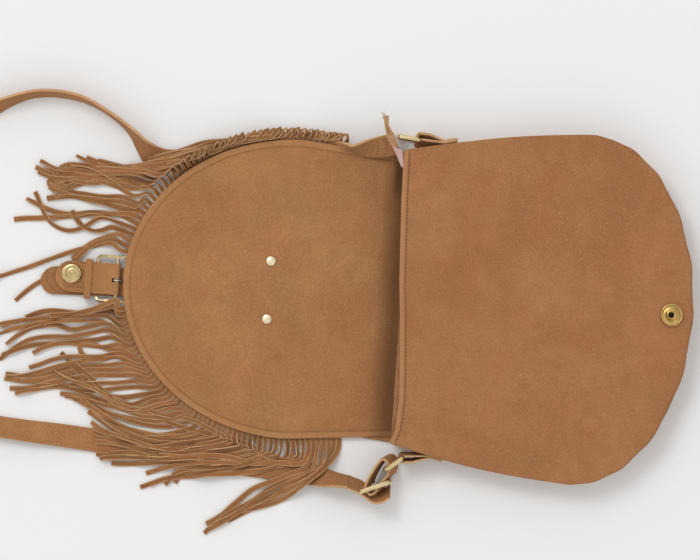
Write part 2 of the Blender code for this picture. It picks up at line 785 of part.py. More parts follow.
# The closure. Heights along the billet and the chape, from the flap to their tips.
END_BAR_HEIGHT = 2 * PRONG_WIRE + 2 * SEAM_GAP + BUCKLE_WIRE
CENTRE_BAR_HEIGHT = END_BAR_HEIGHT + 3.9
OVER_END_BAR = END_BAR_HEIGHT + BUCKLE_WIRE + SEAM_GAP
UNDER_CENTRE_BAR = CENTRE_BAR_HEIGHT - BUCKLE_WIRE - 2 * SEAM_GAP - STRAP_LEATHER - SKIN
RIGHT_BAR_X = BUCKLE_X + BUCKLE_HALF_LENGTH
LEFT_BAR_X = BUCKLE_X - BUCKLE_HALF_LENGTH
BILLET_TIP = BUCKLE_X - 60.5
BILLET_ROOT = BUCKLE_X + 77.0
BILLET_FOOT = 0.3
TIP_FOOT = 1.6
billet_profile = smooth_line(
    [
        (BILLET_TIP, 0, TIP_FOOT),
        (BILLET_TIP + 15.5, 0, TIP_FOOT),
        (SNAP_X + 1.0, 0, TIP_FOOT),
        (LEFT_BAR_X - 13.5, 0, TIP_FOOT + 0.2),
        (LEFT_BAR_X - 9.5, 0, OVER_END_BAR - 2.4),
        (LEFT_BAR_X - 2.5, 0, OVER_END_BAR),
        (LEFT_BAR_X + 2.5, 0, OVER_END_BAR),
        (BUCKLE_X - 4, 0, UNDER_CENTRE_BAR),
        (BUCKLE_X + 4, 0, UNDER_CENTRE_BAR),
        (RIGHT_BAR_X - 2.5, 0, OVER_END_BAR),
        (RIGHT_BAR_X + 3, 0, OVER_END_BAR),
        (RIGHT_BAR_X + 10, 0, 2.2),
        (RIGHT_BAR_X + 16, 0, BILLET_FOOT),
        (BILLET_ROOT - 30, 0, BILLET_FOOT),
        (BILLET_ROOT, 0, BILLET_FOOT),
    ],
    2.5,
)
billet_line = line_through([(p.x, p.z) for p in billet_profile])


def rounded_half_width(distance_from_tip, half_width):
    """Half the width of a strap with a round end, this far from the tip."""
    if distance_from_tip >= half_width:
        return half_width
    inside = 1 - (1 - distance_from_tip / half_width) ** 2
    return half_width * max(math.sqrt(max(inside, 0.0)), 0.22)


BILLET_SKEW = math.tan(math.radians(2.4))


def billet_surface(u, v):
    x, z = billet_line(u**1.25 if u < 1 else 1.0)
    half = rounded_half_width(x - BILLET_TIP, BILLET_WIDTH / 2)
    middle = CLOSURE_Y - 2.2 + (x - BUCKLE_X) * BILLET_SKEW * (1 if x < BUCKLE_X else 0)
    return x, middle + (2 * v - 1) * half, z + SKIN / 2


closure_billet = sheet("closure_billet", 34, 1, billet_surface, SKIN, suede("billet_suede", DARK_TAN))

CHAPE_TIP = BUCKLE_X - 48.8
CHAPE_LOWER = 4.2
LAYER = STRAP_LEATHER + SEAM_GAP
WRAP_RADIUS = BUCKLE_WIRE + SEAM_GAP + STRAP_LEATHER / 2
CHAPE_LOWER_MIDDLE = CHAPE_LOWER + STRAP_LEATHER / 2
CHAPE_OVER_BAR = OVER_END_BAR + SKIN + SEAM_GAP + STRAP_LEATHER / 2
chape_knots = [
    (CHAPE_TIP, CHAPE_LOWER_MIDDLE),
    (SNAP_X + 1.0, CHAPE_LOWER_MIDDLE),
    (LEFT_BAR_X - 11.6, CHAPE_LOWER_MIDDLE),
    (LEFT_BAR_X - 4, CHAPE_OVER_BAR),
    (LEFT_BAR_X + 4, CHAPE_OVER_BAR - 0.1),
    (BUCKLE_X - 5.5, CENTRE_BAR_HEIGHT - WRAP_RADIUS + 0.9),
]
chape_knots += [
    (BUCKLE_X + WRAP_RADIUS * math.cos(turn), CENTRE_BAR_HEIGHT + WRAP_RADIUS * math.sin(turn))
    for turn in [math.radians(angle) for angle in (-100, -55, 0, 50, 95)]
]
chape_knots += [
    (BUCKLE_X - 6.0, CENTRE_BAR_HEIGHT + WRAP_RADIUS - 0.1),
    (LEFT_BAR_X + 3.0, CHAPE_OVER_BAR + LAYER + 0.6),
    (LEFT_BAR_X - 4.5, CHAPE_OVER_BAR + LAYER),
    (LEFT_BAR_X - 11.6, CHAPE_LOWER_MIDDLE + LAYER),
    (SNAP_X + 1.0, CHAPE_LOWER_MIDDLE + LAYER),
    (CHAPE_TIP, CHAPE_LOWER_MIDDLE + LAYER),
]
chape_line = line_through(chape_knots)


def chape_surface(u, v):
    x, z = chape_line(u)
    half = rounded_half_width(x - CHAPE_TIP, CHAPE_WIDTH / 2)
    return x, CLOSURE_Y + (2 * v - 1) * half, z


closure_chape = sheet("closure_chape", 50, 1, chape_surface, STRAP_LEATHER, suede("chape_suede"))

KEEPER_X = LEFT_BAR_X - 9.0
KEEPER_LENGTH = 8.0
KEEPER_CORNER = 1.6
KEEPER_Y = CLOSURE_Y - 1.2
KEEPER_HALF_WIDTH = CHAPE_WIDTH / 2 + 3.1
KEEPER_LOW = 1.4
KEEPER_HIGH = 10.6
keeper_corners = []
for sy, sz, first in ((1, 1, 0), (-1, 1, 90), (-1, -1, 180), (1, -1, 270)):
    corner_y = sy * (KEEPER_HALF_WIDTH - KEEPER_CORNER)
    corner_z = (KEEPER_HIGH - KEEPER_CORNER) if sz > 0 else (KEEPER_LOW + KEEPER_CORNER)
    keeper_corners += [
        (corner_y + KEEPER_CORNER * math.cos(turn), corner_z + KEEPER_CORNER * math.sin(turn))
        for turn in np.radians(np.linspace(first, first + 90, 4))
    ]
keeper_line = line_through(keeper_corners + keeper_corners[:1])


def keeper_surface(u, v):
    y, z = keeper_line(u)
    return KEEPER_X + KEEPER_LENGTH * (v - 0.5), KEEPER_Y + y, z


sheet("closure_keeper", 24, 1, keeper_surface, STRAP_LEATHER, suede("keeper_suede"), closed=True)

closure_matrix = Matrix.Translation(Vector((BUCKLE_X, CLOSURE_Y, END_BAR_HEIGHT)) * MM)
buckle_frame(
    "closure_buckle",
    BUCKLE_HALF_LENGTH,
    BUCKLE_HALF_WIDTH,
    CENTRE_BAR_HEIGHT - END_BAR_HEIGHT,
    closure_matrix,
    metal("closure_buckle_gold"),
)
CLOSURE_PRONG_DROP = CENTRE_BAR_HEIGHT - SEAM_GAP - PRONG_WIRE
PRONG_Y = CLOSURE_Y - 0.9
wire(
    "closure_prong",
    [
        (BUCKLE_X + out, PRONG_Y, CENTRE_BAR_HEIGHT + up)
        for out, up in prong_points(BUCKLE_HALF_LENGTH + 1.6, CLOSURE_PRONG_DROP)
    ],
    PRONG_WIRE,
    metal("closure_prong_silver", SILVER),
)
combine(
    closure_chape,
    slot_cutter("chape_slot", (BUCKLE_X + 1.2, PRONG_Y, CENTRE_BAR_HEIGHT), (9.6, PRONG_SLOT, 9.0)),
    "DIFFERENCE",
)
combine(
    closure_billet,
    slot_cutter("billet_slot", (BUCKLE_X + 9.2, PRONG_Y, OVER_END_BAR), (11.5, PRONG_SLOT, 9.0)),
    "DIFFERENCE",
)

# The snap: stud on the chape, socket on the front panel, each with a post and a washer behind.
STUD_FOOT = CHAPE_LOWER + STRAP_LEATHER + LAYER + SEAM_GAP
turned(
    "snap_stud",
    [
        (0.0, STUD_FOOT + 2.0),
        (1.6, STUD_FOOT + 1.9),
        (2.2, STUD_FOOT + 1.3),
        (STUD_RADIUS - 0.9, STUD_FOOT + 1.3),
        (STUD_RADIUS - 0.2, STUD_FOOT + 1.0),
        (STUD_RADIUS, STUD_FOOT + 0.4),
        (STUD_RADIUS - 0.3, STUD_FOOT),
        (POST_RADIUS, STUD_FOOT),
        (POST_RADIUS, CHAPE_LOWER - SEAM_GAP),
        (0.0, CHAPE_LOWER - SEAM_GAP),
    ],
    (SNAP_X, SNAP_Y, 0.0),
    metal("stud_gold"),
)


def washer_profile(radius, top, thickness):
    return [(0.0, top), (radius, top), (radius, top - thickness), (0.0, top - thickness)]


STUD_WASHER_TOP = CHAPE_LOWER - SEAM_GAP - SEAM_GAP
turned(
    "snap_stud_washer",
    washer_profile(5.5, STUD_WASHER_TOP, 0.5),
    (SNAP_X, SNAP_Y, 0.0),
    metal("stud_washer_steel", SILVER),
    steps=14,
)
combine(
    closure_chape,
    drill("stud_hole", (SNAP_X, SNAP_Y, CHAPE_LOWER), POST_RADIUS + HOLE_CLEARANCE, 8.0),
    "DIFFERENCE",
)
SOCKET_FOOT = FRONT_BASE + SKIN + SEAM_GAP
turned(
    "snap_socket",
    [
        (SOCKET_HOLE, SOCKET_FOOT + 2.2),
        (SOCKET_HOLE + 0.6, SOCKET_FOOT + 2.6),
        (SOCKET_HOLE + 1.1, SOCKET_FOOT + 2.1),
        (SOCKET_RADIUS - 1.4, SOCKET_FOOT + 1.8),
        (SOCKET_RADIUS - 0.3, SOCKET_FOOT + 1.2),
        (SOCKET_RADIUS, SOCKET_FOOT + 0.5),
        (SOCKET_RADIUS - 0.4, SOCKET_FOOT),
        (POST_RADIUS, SOCKET_FOOT),
        (POST_RADIUS, FRONT_BASE - SEAM_GAP),
        (0.0, FRONT_BASE - SEAM_GAP),
        (0.0, SOCKET_FOOT + 0.7),
        (SOCKET_HOLE, SOCKET_FOOT + 0.7),
    ],
    (SOCKET_X, SOCKET_Y, 0.0),
    metal("socket_gold"),
)
SOCKET_WASHER_TOP = FRONT_BASE - 2 * SEAM_GAP
turned(
    "snap_socket_washer",
    washer_profile(7.0, SOCKET_WASHER_TOP, 0.8),
    (SOCKET_X, SOCKET_Y, 0.0),
    metal("socket_washer_steel", SILVER),
    steps=14,
)
combine(
    front_panel,
    drill("socket_hole", (SOCKET_X, SOCKET_Y, FRONT_BASE), POST_RADIUS + HOLE_CLEARANCE, 10.0),
    "DIFFERENCE",
)

# The fringe. Routes are read off the photograph, in its pixels, and start at the flap's edge.
PHOTO_SCALE = 0.8
PHOTO_MIDDLE = (400.0, 297.0)
PHOTO_TURN = math.radians(4.02)


def from_photo(px, py):
    """A pixel of the 700 by 560 photograph as a place on the floor."""
    right = PHOTO_SCALE * (px - PHOTO_MIDDLE[0])
    up = PHOTO_SCALE * (PHOTO_MIDDLE[1] - py)
    return (
        right * math.cos(PHOTO_TURN) - up * math.sin(PHOTO_TURN),
        right * math.sin(PHOTO_TURN) + up * math.cos(PHOTO_TURN),
    )


FAR_ROUTES = {
    0: [(336, 142), (318, 141), (296, 141), (268, 140), (240, 145), (222, 150)],
    5: [(300, 138), (280, 139), (255, 141), (228, 146), (200, 151), (184, 155)],
    10: [(264, 138), (240, 140), (210, 145), (180, 152), (155, 160)],
    14: [(238, 139), (220, 141), (200, 148), (180, 157), (150, 168), (120, 172)],
    17: [(212, 149), (195, 152), (175, 161), (150, 166), (120, 168), (100, 163), (79, 154)],
    20: [(195, 157), (180, 161), (150, 168), (120, 170), (95, 174), (70, 181), (45, 181)],
    23: [(170, 166), (150, 172), (120, 176), (90, 182), (60, 190), (56, 198)],
    25: [(158, 178), (140, 171), (110, 168), (80, 165), (60, 170), (41, 161)],
    27: [(145, 187), (120, 183), (95, 187), (70, 181), (50, 176), (34, 168)],
    28: [(130, 188), (108, 175), (89, 166), (64, 165), (55, 174), (69, 188)],
    30: [(140, 207), (125, 200), (106, 201), (92, 201), (79, 205), (61, 199), (41, 186)],
    31: [(128, 207), (100, 196), (80, 191), (58, 192)],
    32: [(128, 214), (89, 215), (46, 219), (13, 220)],
    33: [(120, 215), (89, 209), (71, 210), (51, 205), (29, 194)],
    34: [(117, 226), (105, 220), (92, 225), (79, 235), (64, 233), (48, 222), (43, 211), (37, 191)],
    35: [(125, 232), (113, 226), (98, 230)],
    36: [(112, 238), (95, 243), (82, 256), (62, 272), (42, 287), (22, 306)],
    37: [(110, 243), (89, 247), (60, 257), (38, 265), (0, 274), (-14, 277)],
}
NEAR_ROUTES = {
    0: [(118, 300), (108, 303), (96, 308), (78, 312), (50, 314)],
    2: [(111, 315), (64, 315), (19, 318), (0, 324), (-12, 328)],
    3: [(100, 319), (66, 322), (38, 325), (13, 328), (0, 331), (-12, 334)],
    4: [(110, 326), (90, 329), (71, 330), (57, 324), (38, 327), (23, 334), (10, 347)],
    5: [(110, 334), (89, 337), (57, 339), (25, 346), (0, 359), (-8, 364)],
    6: [(119, 343), (100, 345), (80, 341), (60, 341), (40, 345), (20, 352)],
    7: [(121, 350), (108, 350), (92, 345), (78, 346), (88, 358)],
    8: [(115, 354), (89, 359), (64, 363), (32, 370), (8, 371)],
    10: [(130, 368), (105, 368), (80, 372), (55, 376), (30, 381), (4, 378)],
    12: [(140, 384), (115, 386), (90, 386), (65, 388), (45, 392), (18, 398)],
    13: [(140, 394), (115, 396), (97, 392), (83, 380), (68, 362)],
    14: [(150, 398), (128, 406), (97, 389), (83, 371), (61, 351)],
    15: [(155, 402), (128, 410), (105, 398), (89, 389), (55, 373)],
    17: [(170, 408), (150, 413), (133, 410), (110, 403), (88, 397), (60, 393)],
    21: [(203, 430), (185, 437), (160, 438), (130, 430), (105, 415), (85, 402)],
    24: [(222, 440), (200, 446), (175, 448), (150, 449), (130, 440), (93, 419)],
    27: [(245, 447), (225, 452), (195, 455), (150, 453), (96, 453)],
    30: [(262, 452), (240, 460), (210, 462), (160, 463), (104, 462)],
    32: [(272, 455), (245, 463), (203, 466), (183, 476), (181, 485), (192, 483)],
    33: [(280, 458), (250, 468), (210, 468), (185, 471), (137, 486)],
    34: [(288, 462), (255, 472), (215, 475), (178, 480), (149, 489)],
    35: [(298, 456), (280, 456), (262, 446), (247, 436), (210, 421), (172, 404)],
    36: [(300, 462), (264, 457), (247, 455), (221, 440), (194, 430), (160, 423), (133, 414)],
    37: [(305, 466), (282, 478), (256, 489), (225, 512), (206, 521)],
    38: [(312, 468), (290, 478), (262, 494), (230, 515), (203, 533)],
    39: [(322, 466), (300, 480), (270, 495), (235, 514), (207, 528)],
    41: [(335, 455), (325, 468), (300, 486), (268, 503), (240, 514)],
}
FAR_STRIPS = 30
NEAR_STRIPS = 42
UNDER_STRIPS = (27, 28)
LAST_STRIPS = (13, 15, 14, 35, 36, 37, 38, 39)
ROUTE_KNOTS = 7
STRIP_CLEARANCE = 0.35


def edge_table(side):
    """Points along the flap's edge from the fold to the tip, with their distance."""
    points = [flap_plan(along, side) for along in np.linspace(0.0, 1.0, 20)]
    points += [flap_plan(1.0, side * (1 - share)) for share in np.linspace(0.01, 1.0, 160)]
    table = np.array(points)
    lengths = np.concatenate([[0.0], np.cumsum(np.linalg.norm(np.diff(table, axis=0), axis=1))])
    return table, lengths


def on_edge(table, lengths, distance):
    return np.array([np.interp(distance, lengths, table[:, 0]), np.interp(distance, lengths, table[:, 1])])


def edge_outward(table, lengths, distance):
    ahead = on_edge(table, lengths, distance + 1.5)
    behind = on_edge(table, lengths, distance - 1.5)
    heading = (ahead - behind) / np.linalg.norm(ahead - behind)
    middle = on_edge(table, lengths, distance)
    outward = np.array([-heading[1], heading[0]])
    away = middle - np.array([FLAP_WIDEST + 40.0, 0.0])
    return outward if outward @ away > 0 else -outward


def resampled(points, count):
    table = np.array(points, float)
    lengths = np.concatenate([[0.0], np.cumsum(np.linalg.norm(np.diff(table, axis=0), axis=1))])
    wanted = np.linspace(0.0, lengths[-1], count)
    return np.stack([np.interp(wanted, lengths, table[:, k]) for k in range(2)], axis=1)


def route_of(index, count, routes):
    """The strip's own route, or one between its neighbours'. The routes are numbered as they were
    counted in the photograph, where there are more strips than the bag here has."""
    index *= max(routes) / (count - 1)
    if index in routes:
        return resampled([from_photo(*p) for p in routes[index]], ROUTE_KNOTS)
    below = max(k for k in routes if k < index)
    above = min(k for k in routes if k > index)
    share = (index - below) / (above - below)
    low = resampled([from_photo(*p) for p in routes[below]], ROUTE_KNOTS)
    high = resampled([from_photo(*p) for p in routes[above]], ROUTE_KNOTS)
    return (1 - share) * low + share * high


def keep_off_flap(point, margin):
    """The point, moved out past the flap's edge if it lies inside it."""
    x, y = point
    if x > FLAP_WIDEST:
        half = FLAP_HALF_WIDTH + margin
        return np.array([x, math.copysign(max(abs(y), half), y)]) if abs(y) > 60 else point
    dx = (x - FLAP_WIDEST) / (FLAP_REACH + margin)
    dy = y / (FLAP_HALF_WIDTH + margin)
    radius = math.hypot(dx, dy)
    if radius >= 1:
        return point
    return np.array([FLAP_WIDEST + (x - FLAP_WIDEST) / radius, y / radius])


# What lies on the floor is kept as a map of its height. Each strip is laid on what is there, and
# then added to it, so that no strip runs through another.
CELL = 0.75
CELL_REACH = 0.55
PILE_LOW = np.array([-480.0, -290.0])
PILE_CELLS = (1000, 760)
BAND_OVERHANG = 0.8
FIRST_STATION = 5.0
EDGE_LANE = 5.2
ROOT_INSET = 0.9
ROOT_GRIP = 0.3
CREST_TILT = 3.2
STEEPEST = 0.7
# Where many strips lie, one may lie this far to a side of its route, away from the flap first.
SHIFTS = (0.0, 2.0, 4.0, 6.0, 8.0, 10.0, 12.0, 14.0, -2.0, -4.0, -6.0, -8.0)
SHIFT_COST = 0.06
SETTLED = 0.01
pile = np.zeros(PILE_CELLS)


def cells_of(points):
    index = np.floor((points - PILE_LOW) / CELL).astype(int)
    return np.clip(index[:, 0], 0, pile.shape[0] - 1), np.clip(index[:, 1], 0, pile.shape[1] - 1)


def bury(points, height):
    """Something stands this high at these places."""
    np.maximum.at(pile, cells_of(points), height)


def bury_strap():
    """The strap lies on the floor before the fringe does."""
    for share in np.linspace(0.0, 1.0, 2600):
        low = np.array(strap_surface(share, 0.0))
        high = np.array(strap_surface(share, 1.0))
        across = np.linspace(-0.07, 1.07, 34)[:, None]
        spots = low + (high - low) * across
        bury(spots[:, :2], spots[:, 2] + STRAP_THICKNESS * 0.85)


def bury_closure():
    """Most strips lie over the closure, and its highest piece is the keeper."""
    top = KEEPER_HIGH + STRAP_LEATHER
    for x in np.arange(BILLET_TIP - 1, RIGHT_BAR_X - 3, 0.5):
        half = BUCKLE_HALF_WIDTH + 2.0 if x > LEFT_BAR_X - 14 else CHAPE_WIDTH / 2 + 1.5
        y = CLOSURE_Y - 1.5 + np.arange(-half, half + 0.01, 0.5)
        bury(np.stack([np.full(len(y), x), y], axis=1), top)


def plan_cells(near, far, along_reach, across_reach):
    """The map's cells under one length of strip, and how far along and across it each one lies.
    near and far are its end lines, each as (left, right)."""
    corners = np.array([*near, *far])
    low = np.floor((corners.min(axis=0) - PILE_LOW) / CELL).astype(int) - 1
    high = np.ceil((corners.max(axis=0) - PILE_LOW) / CELL).astype(int) + 1
    grid = np.meshgrid(np.arange(low[0], high[0]), np.arange(low[1], high[1]), indexing="ij")
    index = np.stack([part.ravel() for part in grid], axis=1)
    spots = PILE_LOW + (index + 0.5) * CELL
    reach = []
    for line, other in ((near, far), (far, near)):
        ahead = line[1] - line[0]
        normal = np.array([-ahead[1], ahead[0]]) / np.linalg.norm(ahead)
        normal *= math.copysign(1.0, normal @ (other[0] + other[1] - line[0] - line[1]))
        reach.append((spots - (line[0] + line[1]) / 2) @ normal)
    u = np.clip(reach[0] / np.maximum(reach[0] + reach[1], 0.1), 0.0, 1.0)
    left = near[0] + (far[0] - near[0]) * u[:, None]
    right = near[1] + (far[1] - near[1]) * u[:, None]
    width = np.linalg.norm(right - left, axis=1)
    v = ((spots - left) * (right - left)).sum(axis=1) / width**2
    beside = across_reach / width
    under = (reach[0] > -along_reach) & (reach[1] > -along_reach) & (v > -beside) & (v < 1 + beside)
    return (index[under, 0], index[under, 1]), u[under], np.clip(v[under], 0.0, 1.0)


def corner_weights(u, v):
    """What each corner of a length of strip counts for at (u, v). The corners are near left, near
    right, far left and far right, and the length is cut from near left to far right."""
    none = np.zeros_like(u)
    return np.where(u >= v, [1 - u, none, u - v, v], [1 - v, v - u, none, u]).T


class Laying:
    """The heights of one strip's edges, two a station, as it settles on the map."""

    def __init__(self, lefts, rights, root_heights):
        self.lefts = lefts
        self.rights = rights
        count = len(lefts)
        self.heights = np.full(2 * count, STRIP_CLEARANCE + STRIP_THICKNESS / 2)
        self.heights[:2] = root_heights
        self.lengths = np.linalg.norm(np.diff((lefts + rights) / 2, axis=0), axis=1)
        weights, corners, needs = [], [], []
        for k in range(count - 1):
            cells, u, v = self.cells(k, -ROOT_INSET if k == 0 else CELL_REACH)
            part = corner_weights(u, v)
            held = part[:, 2:].sum(axis=1) > ROOT_GRIP if k == 0 else np.full(len(u), True)
            weights.append(part[held])
            needs.append(pile[cells][held] + STRIP_CLEARANCE + STRIP_THICKNESS / 2)
            corners.append(np.tile(2 * k + np.arange(4), (held.sum(), 1)))
        self.weights = np.concatenate(weights)
        self.corners = np.concatenate(corners)
        self.needs = np.concatenate(needs)

    def cells(self, k, across_reach):
        near = (self.lefts[k], self.rights[k])
        far = (self.lefts[k + 1], self.rights[k + 1])
        return plan_cells(near, far, CELL_REACH, across_reach)

    def shortfall(self):
        return self.needs - (self.weights * self.heights[self.corners]).sum(axis=1)

    def raise_all(self):
        """Lifts the corners until the strip clears what lies under it."""
        free = (self.corners >= 2).astype(float)
        for _ in range(900):
            short = self.shortfall()
            worst = short.argmax()
            if short[worst] < SETTLED:
                return
            share = self.weights[worst] * free[worst]
            raised = self.heights[self.corners[worst]] + share * short[worst] / (share @ share)
            # No corner goes above what it has to clear, or each strip would stand higher than the last.
            level = max(self.needs[worst], STRIP_CLEARANCE)
            capped = np.minimum(raised, np.maximum(level, self.heights[self.corners[worst]]))
            gained = np.abs(capped - self.heights[self.corners[worst]]).max()
            self.heights[self.corners[worst]] = capped
            if gained < SETTLED:
                self.needs[worst] = 0.0

    def least(self, corner):
        """How low this corner may lie, for its partner across the strip and its neighbours along it."""
        station = corner // 2
        lows = [self.heights[corner ^ 1] - CREST_TILT]
        if station > 1:
            lows.append(self.heights[corner - 2] - STEEPEST * self.lengths[station - 1])
        if corner + 2 < len(self.heights):
            lows.append(self.heights[corner + 2] - STEEPEST * self.lengths[station])
        return max(lows)

    def ease(self):
        for _ in range(3):
            for corner in range(2, len(self.heights)):
                self.heights[corner] = max(self.heights[corner], self.least(corner))

    def lower(self):
        """Lets each corner down as far as what lies under it allows."""
        for corner in range(2, len(self.heights)):
            rows, places = np.nonzero((self.corners == corner) & (self.weights > 0.04))
            if len(rows):
                slack = (-self.shortfall()[rows] / self.weights[rows, places]).min()
                drop = min(slack, self.heights[corner] - self.least(corner))
                self.heights[corner] -= max(drop, 0.0)

    def settle(self):
        self.raise_all()
        self.ease()
        self.raise_all()
        for _ in range(3):
            self.lower()
        for k in range(len(self.lefts) - 1):
            cells, u, v = self.cells(k, 0.0 if k == 0 else CELL_REACH)
            middles = corner_weights(u, v) @ self.heights[2 * k : 2 * k + 4]
            np.maximum.at(pile, cells, middles + STRIP_THICKNESS / 2)
        return self.heights


def strip_plan(root, outward, route, shift):
    """The strip's stations in plan, after its root: it comes straight out, then follows its route,
    moved sideways by the shift."""
    first = root + outward * (BAND_OVERHANG + FIRST_STATION)
    margin = STRIP_WIDTH / 2 + EDGE_LANE
    ahead = np.gradient(route, axis=0)
    ahead /= np.linalg.norm(ahead, axis=1, keepdims=True)
    route = route + shift * np.stack([-ahead[:, 1], ahead[:, 0]], axis=1)
    later = [keep_off_flap(p, margin) for p in route]
    later = [p for p in later if np.linalg.norm(p - first) > 2 * FIRST_STATION]
    plan = smooth_line([(p[0], p[1], 0.0) for p in [first, *later]], 1.5)
    table = np.array([tuple(p)[:2] for p in plan])
    lengths = np.concatenate([[0.0], np.cumsum(np.linalg.norm(np.diff(table, axis=0), axis=1))])
    pitch = lengths[-1] / (STRIP_SEGMENTS - 1)
    cut_corner = pitch**2 / (8 * FLAP_HALF_WIDTH)
    stations = [on_edge(table, lengths, k * pitch) for k in range(STRIP_SEGMENTS)]
    return [stations[0], *(keep_off_flap(p, margin + cut_corner) for p in stations[1:])]


def band_height(point):
    return flap_underside(point[0], point[1]) - SLOPED_GAP - STRIP_THICKNESS / 2


def unit(vector):
    return vector / max(np.linalg.norm(vector), 1e-6)


def strip_edges(corners, outward, stations):
    """The strip's left and right edge at each station, its root's corners first."""
    headings = [outward] + [unit(b - a) for a, b in zip(stations, stations[1:])]
    headings.append(headings[-1])
    lefts, rights = [corners[0]], [corners[1]]
    for station, before, after in zip(stations, headings, headings[1:]):
        heading = unit(before + after)
        side = np.array([-heading[1], heading[0]]) * STRIP_WIDTH / 2
        lefts.append(station + side)
        rights.append(station - side)
    return np.array(lefts), np.array(rights)


def depth_under(lefts, rights):
    """How high the map stands under the strip, at its mean."""
    heights = []
    for k in range(1, len(lefts) - 1):
        near = (lefts[k], rights[k])
        heights.append(pile[plan_cells(near, (lefts[k + 1], rights[k + 1]), 0.0, 0.0)[0]])
    heights = np.concatenate(heights)
    return (heights.mean() + heights.max()) / 2


class FringeBand:
    """One cut band of suede: the sewn part along the flap's edge, and its hanging strips."""

    def __init__(self, name, side, count, routes, start, from_tip=False):
        self.name = name
        self.side = side
        self.from_tip = from_tip
        self.count = count
        self.routes = routes
        self.table, self.lengths = edge_table(side)
        notch = (np.abs(self.table[:, 1] - CLOSURE_Y) < CLOSURE_NOTCH) & (self.table[:, 0] < FLAP_WIDEST)
        end = self.lengths[notch].min()
        self.start = start
        self.pitch = (end - start - STRIP_WIDTH) / (count - 1)
        self.bm = bmesh.new()
        self.roots = self.make_band()

    def middle_of(self, index):
        return self.start + STRIP_WIDTH / 2 + index * self.pitch

    def section(self, distance):
        """The band's inner and outer edge at this distance along the flap's edge."""
        edge = on_edge(self.table, self.lengths, distance)
        outward = edge_outward(self.table, self.lengths, distance)
        return edge - outward * BAND_WIDTH, edge + outward * BAND_OVERHANG

    def make_band(self):
        """The sewn band, a box pulled out station by station, and the face each strip grows from."""
        sections = []
        for index in range(self.count):
            for edge in (-STRIP_WIDTH / 2, STRIP_WIDTH / 2):
                sections.append(self.section(self.middle_of(index) + edge))
        box = bmesh.ops.create_cube(self.bm, size=1.0)["verts"]
        ahead = [vert for vert in box if vert.co.x > 0]
        self.signs = {vert: (int(vert.co.y > 0), 1 if vert.co.z > 0 else -1) for vert in box}
        for vert in box:
            self.put(vert, sections[1 if vert in ahead else 0])
        current = next(face for face in self.bm.faces if all(vert in ahead for vert in face.verts))
        roots = [self.outer_face(current)]
        for i, section in enumerate(sections[2:], start=2):
            current = self.pull(current)
            for vert in current.verts:
                self.put(vert, section)
            if i % 2 == 1:
                roots.append(self.outer_face(current))
        return roots

    def pull(self, face):
        """The face pulled out of the band or strip, each new corner with the sign of its old one."""
        old = list(face.verts)
        made = bmesh.ops.extrude_discrete_faces(self.bm, faces=[face])["faces"][0]
        for vert in made.verts:
            nearest = min(old, key=lambda other: (other.co - vert.co).length)
            self.signs[vert] = self.signs[nearest]
        return made

    def put(self, vert, section):
        out, up = self.signs[vert]
        x, y = section[out]
        vert.co = Vector((x, y, band_height(section[out]) + up * STRIP_THICKNESS / 2)) * MM

    def outer_face(self, current):
        """The band's outer side, between this station's face and the one before it."""
        faces = {face for vert in current.verts for face in vert.link_faces if face is not current}
        return next(face for face in faces if all(self.signs[vert][0] == 1 for vert in face.verts))

    def grow_strip(self, index):
        """One strip of the fringe, numbered as its route is: from the fold, or from the flap's tip."""
        place = self.count - 1 - index if self.from_tip else index
        distance = self.middle_of(place)
        root = on_edge(self.table, self.lengths, distance)
        outward = edge_outward(self.table, self.lengths, distance)
        route = route_of(index, self.count, self.routes)
        corners = [self.section(distance + edge)[1] for edge in (STRIP_WIDTH / 2, -STRIP_WIDTH / 2)]
        across = np.array([-outward[1], outward[0]])
        corners.sort(key=lambda corner: -(corner @ across))
        plans = [strip_plan(root, outward, route, -self.side * shift) for shift in SHIFTS]
        choices = [strip_edges(corners, outward, plan) for plan in plans]
        costs = [depth_under(*edges) + SHIFT_COST * abs(shift) for edges, shift in zip(choices, SHIFTS)]
        lefts, rights = choices[int(np.argmin(costs))]
        heights = Laying(lefts, rights, [band_height(corner) for corner in corners]).settle()
        current = self.roots[place]
        centre = current.calc_center_median()
        for vert in current.verts:
            to_left = (vert.co - centre).xy.dot(Vector(across)) > 0
            self.signs[vert] = (0 if to_left else 1, self.signs[vert][1])
        for k in range(1, len(lefts)):
            behind = {self.signs[vert]: vert for vert in current.verts}
            current = self.pull(current)
            ahead = {self.signs[vert]: vert for vert in current.verts}
            for (right, up), vert in ahead.items():
                x, y = (rights if right else lefts)[k]
                vert.co = Vector((x, y, heights[2 * k + right] + up * STRIP_THICKNESS / 2)) * MM
            # Both sides of the strip bend along the same line, so its thickness stays the same.
            for up in (-1, 1):
                corner_pair = (behind[0, up], ahead[1, up])
                side_face = next(face for face in corner_pair[0].link_faces if corner_pair[1] in face.verts)
                bmesh.utils.face_split(side_face, *corner_pair)

    def finish(self):
        bmesh.ops.recalc_face_normals(self.bm, faces=self.bm.faces)
        return place_object(self.name, to_mesh(self.name, self.bm), suede(self.name + "_suede"))


FAR_START = 28.0
NEAR_START = 16.0
far_band = FringeBand("fringe_far", 1, FAR_STRIPS, FAR_ROUTES, FAR_START)
near_band = FringeBand("fringe_near", -1, NEAR_STRIPS, NEAR_ROUTES, NEAR_START, from_tip=True)
bury_strap()
for lowest in UNDER_STRIPS:
    far_band.grow_strip(lowest)
bury_closure()
for index in range(FAR_STRIPS):
    if index not in UNDER_STRIPS:
        far_band.grow_strip(index)
for index in [i for i in range(NEAR_STRIPS) if i not in LAST_STRIPS] + list(LAST_STRIPS):
    near_band.grow_strip(index)
far_band.finish()
near_band.finish()


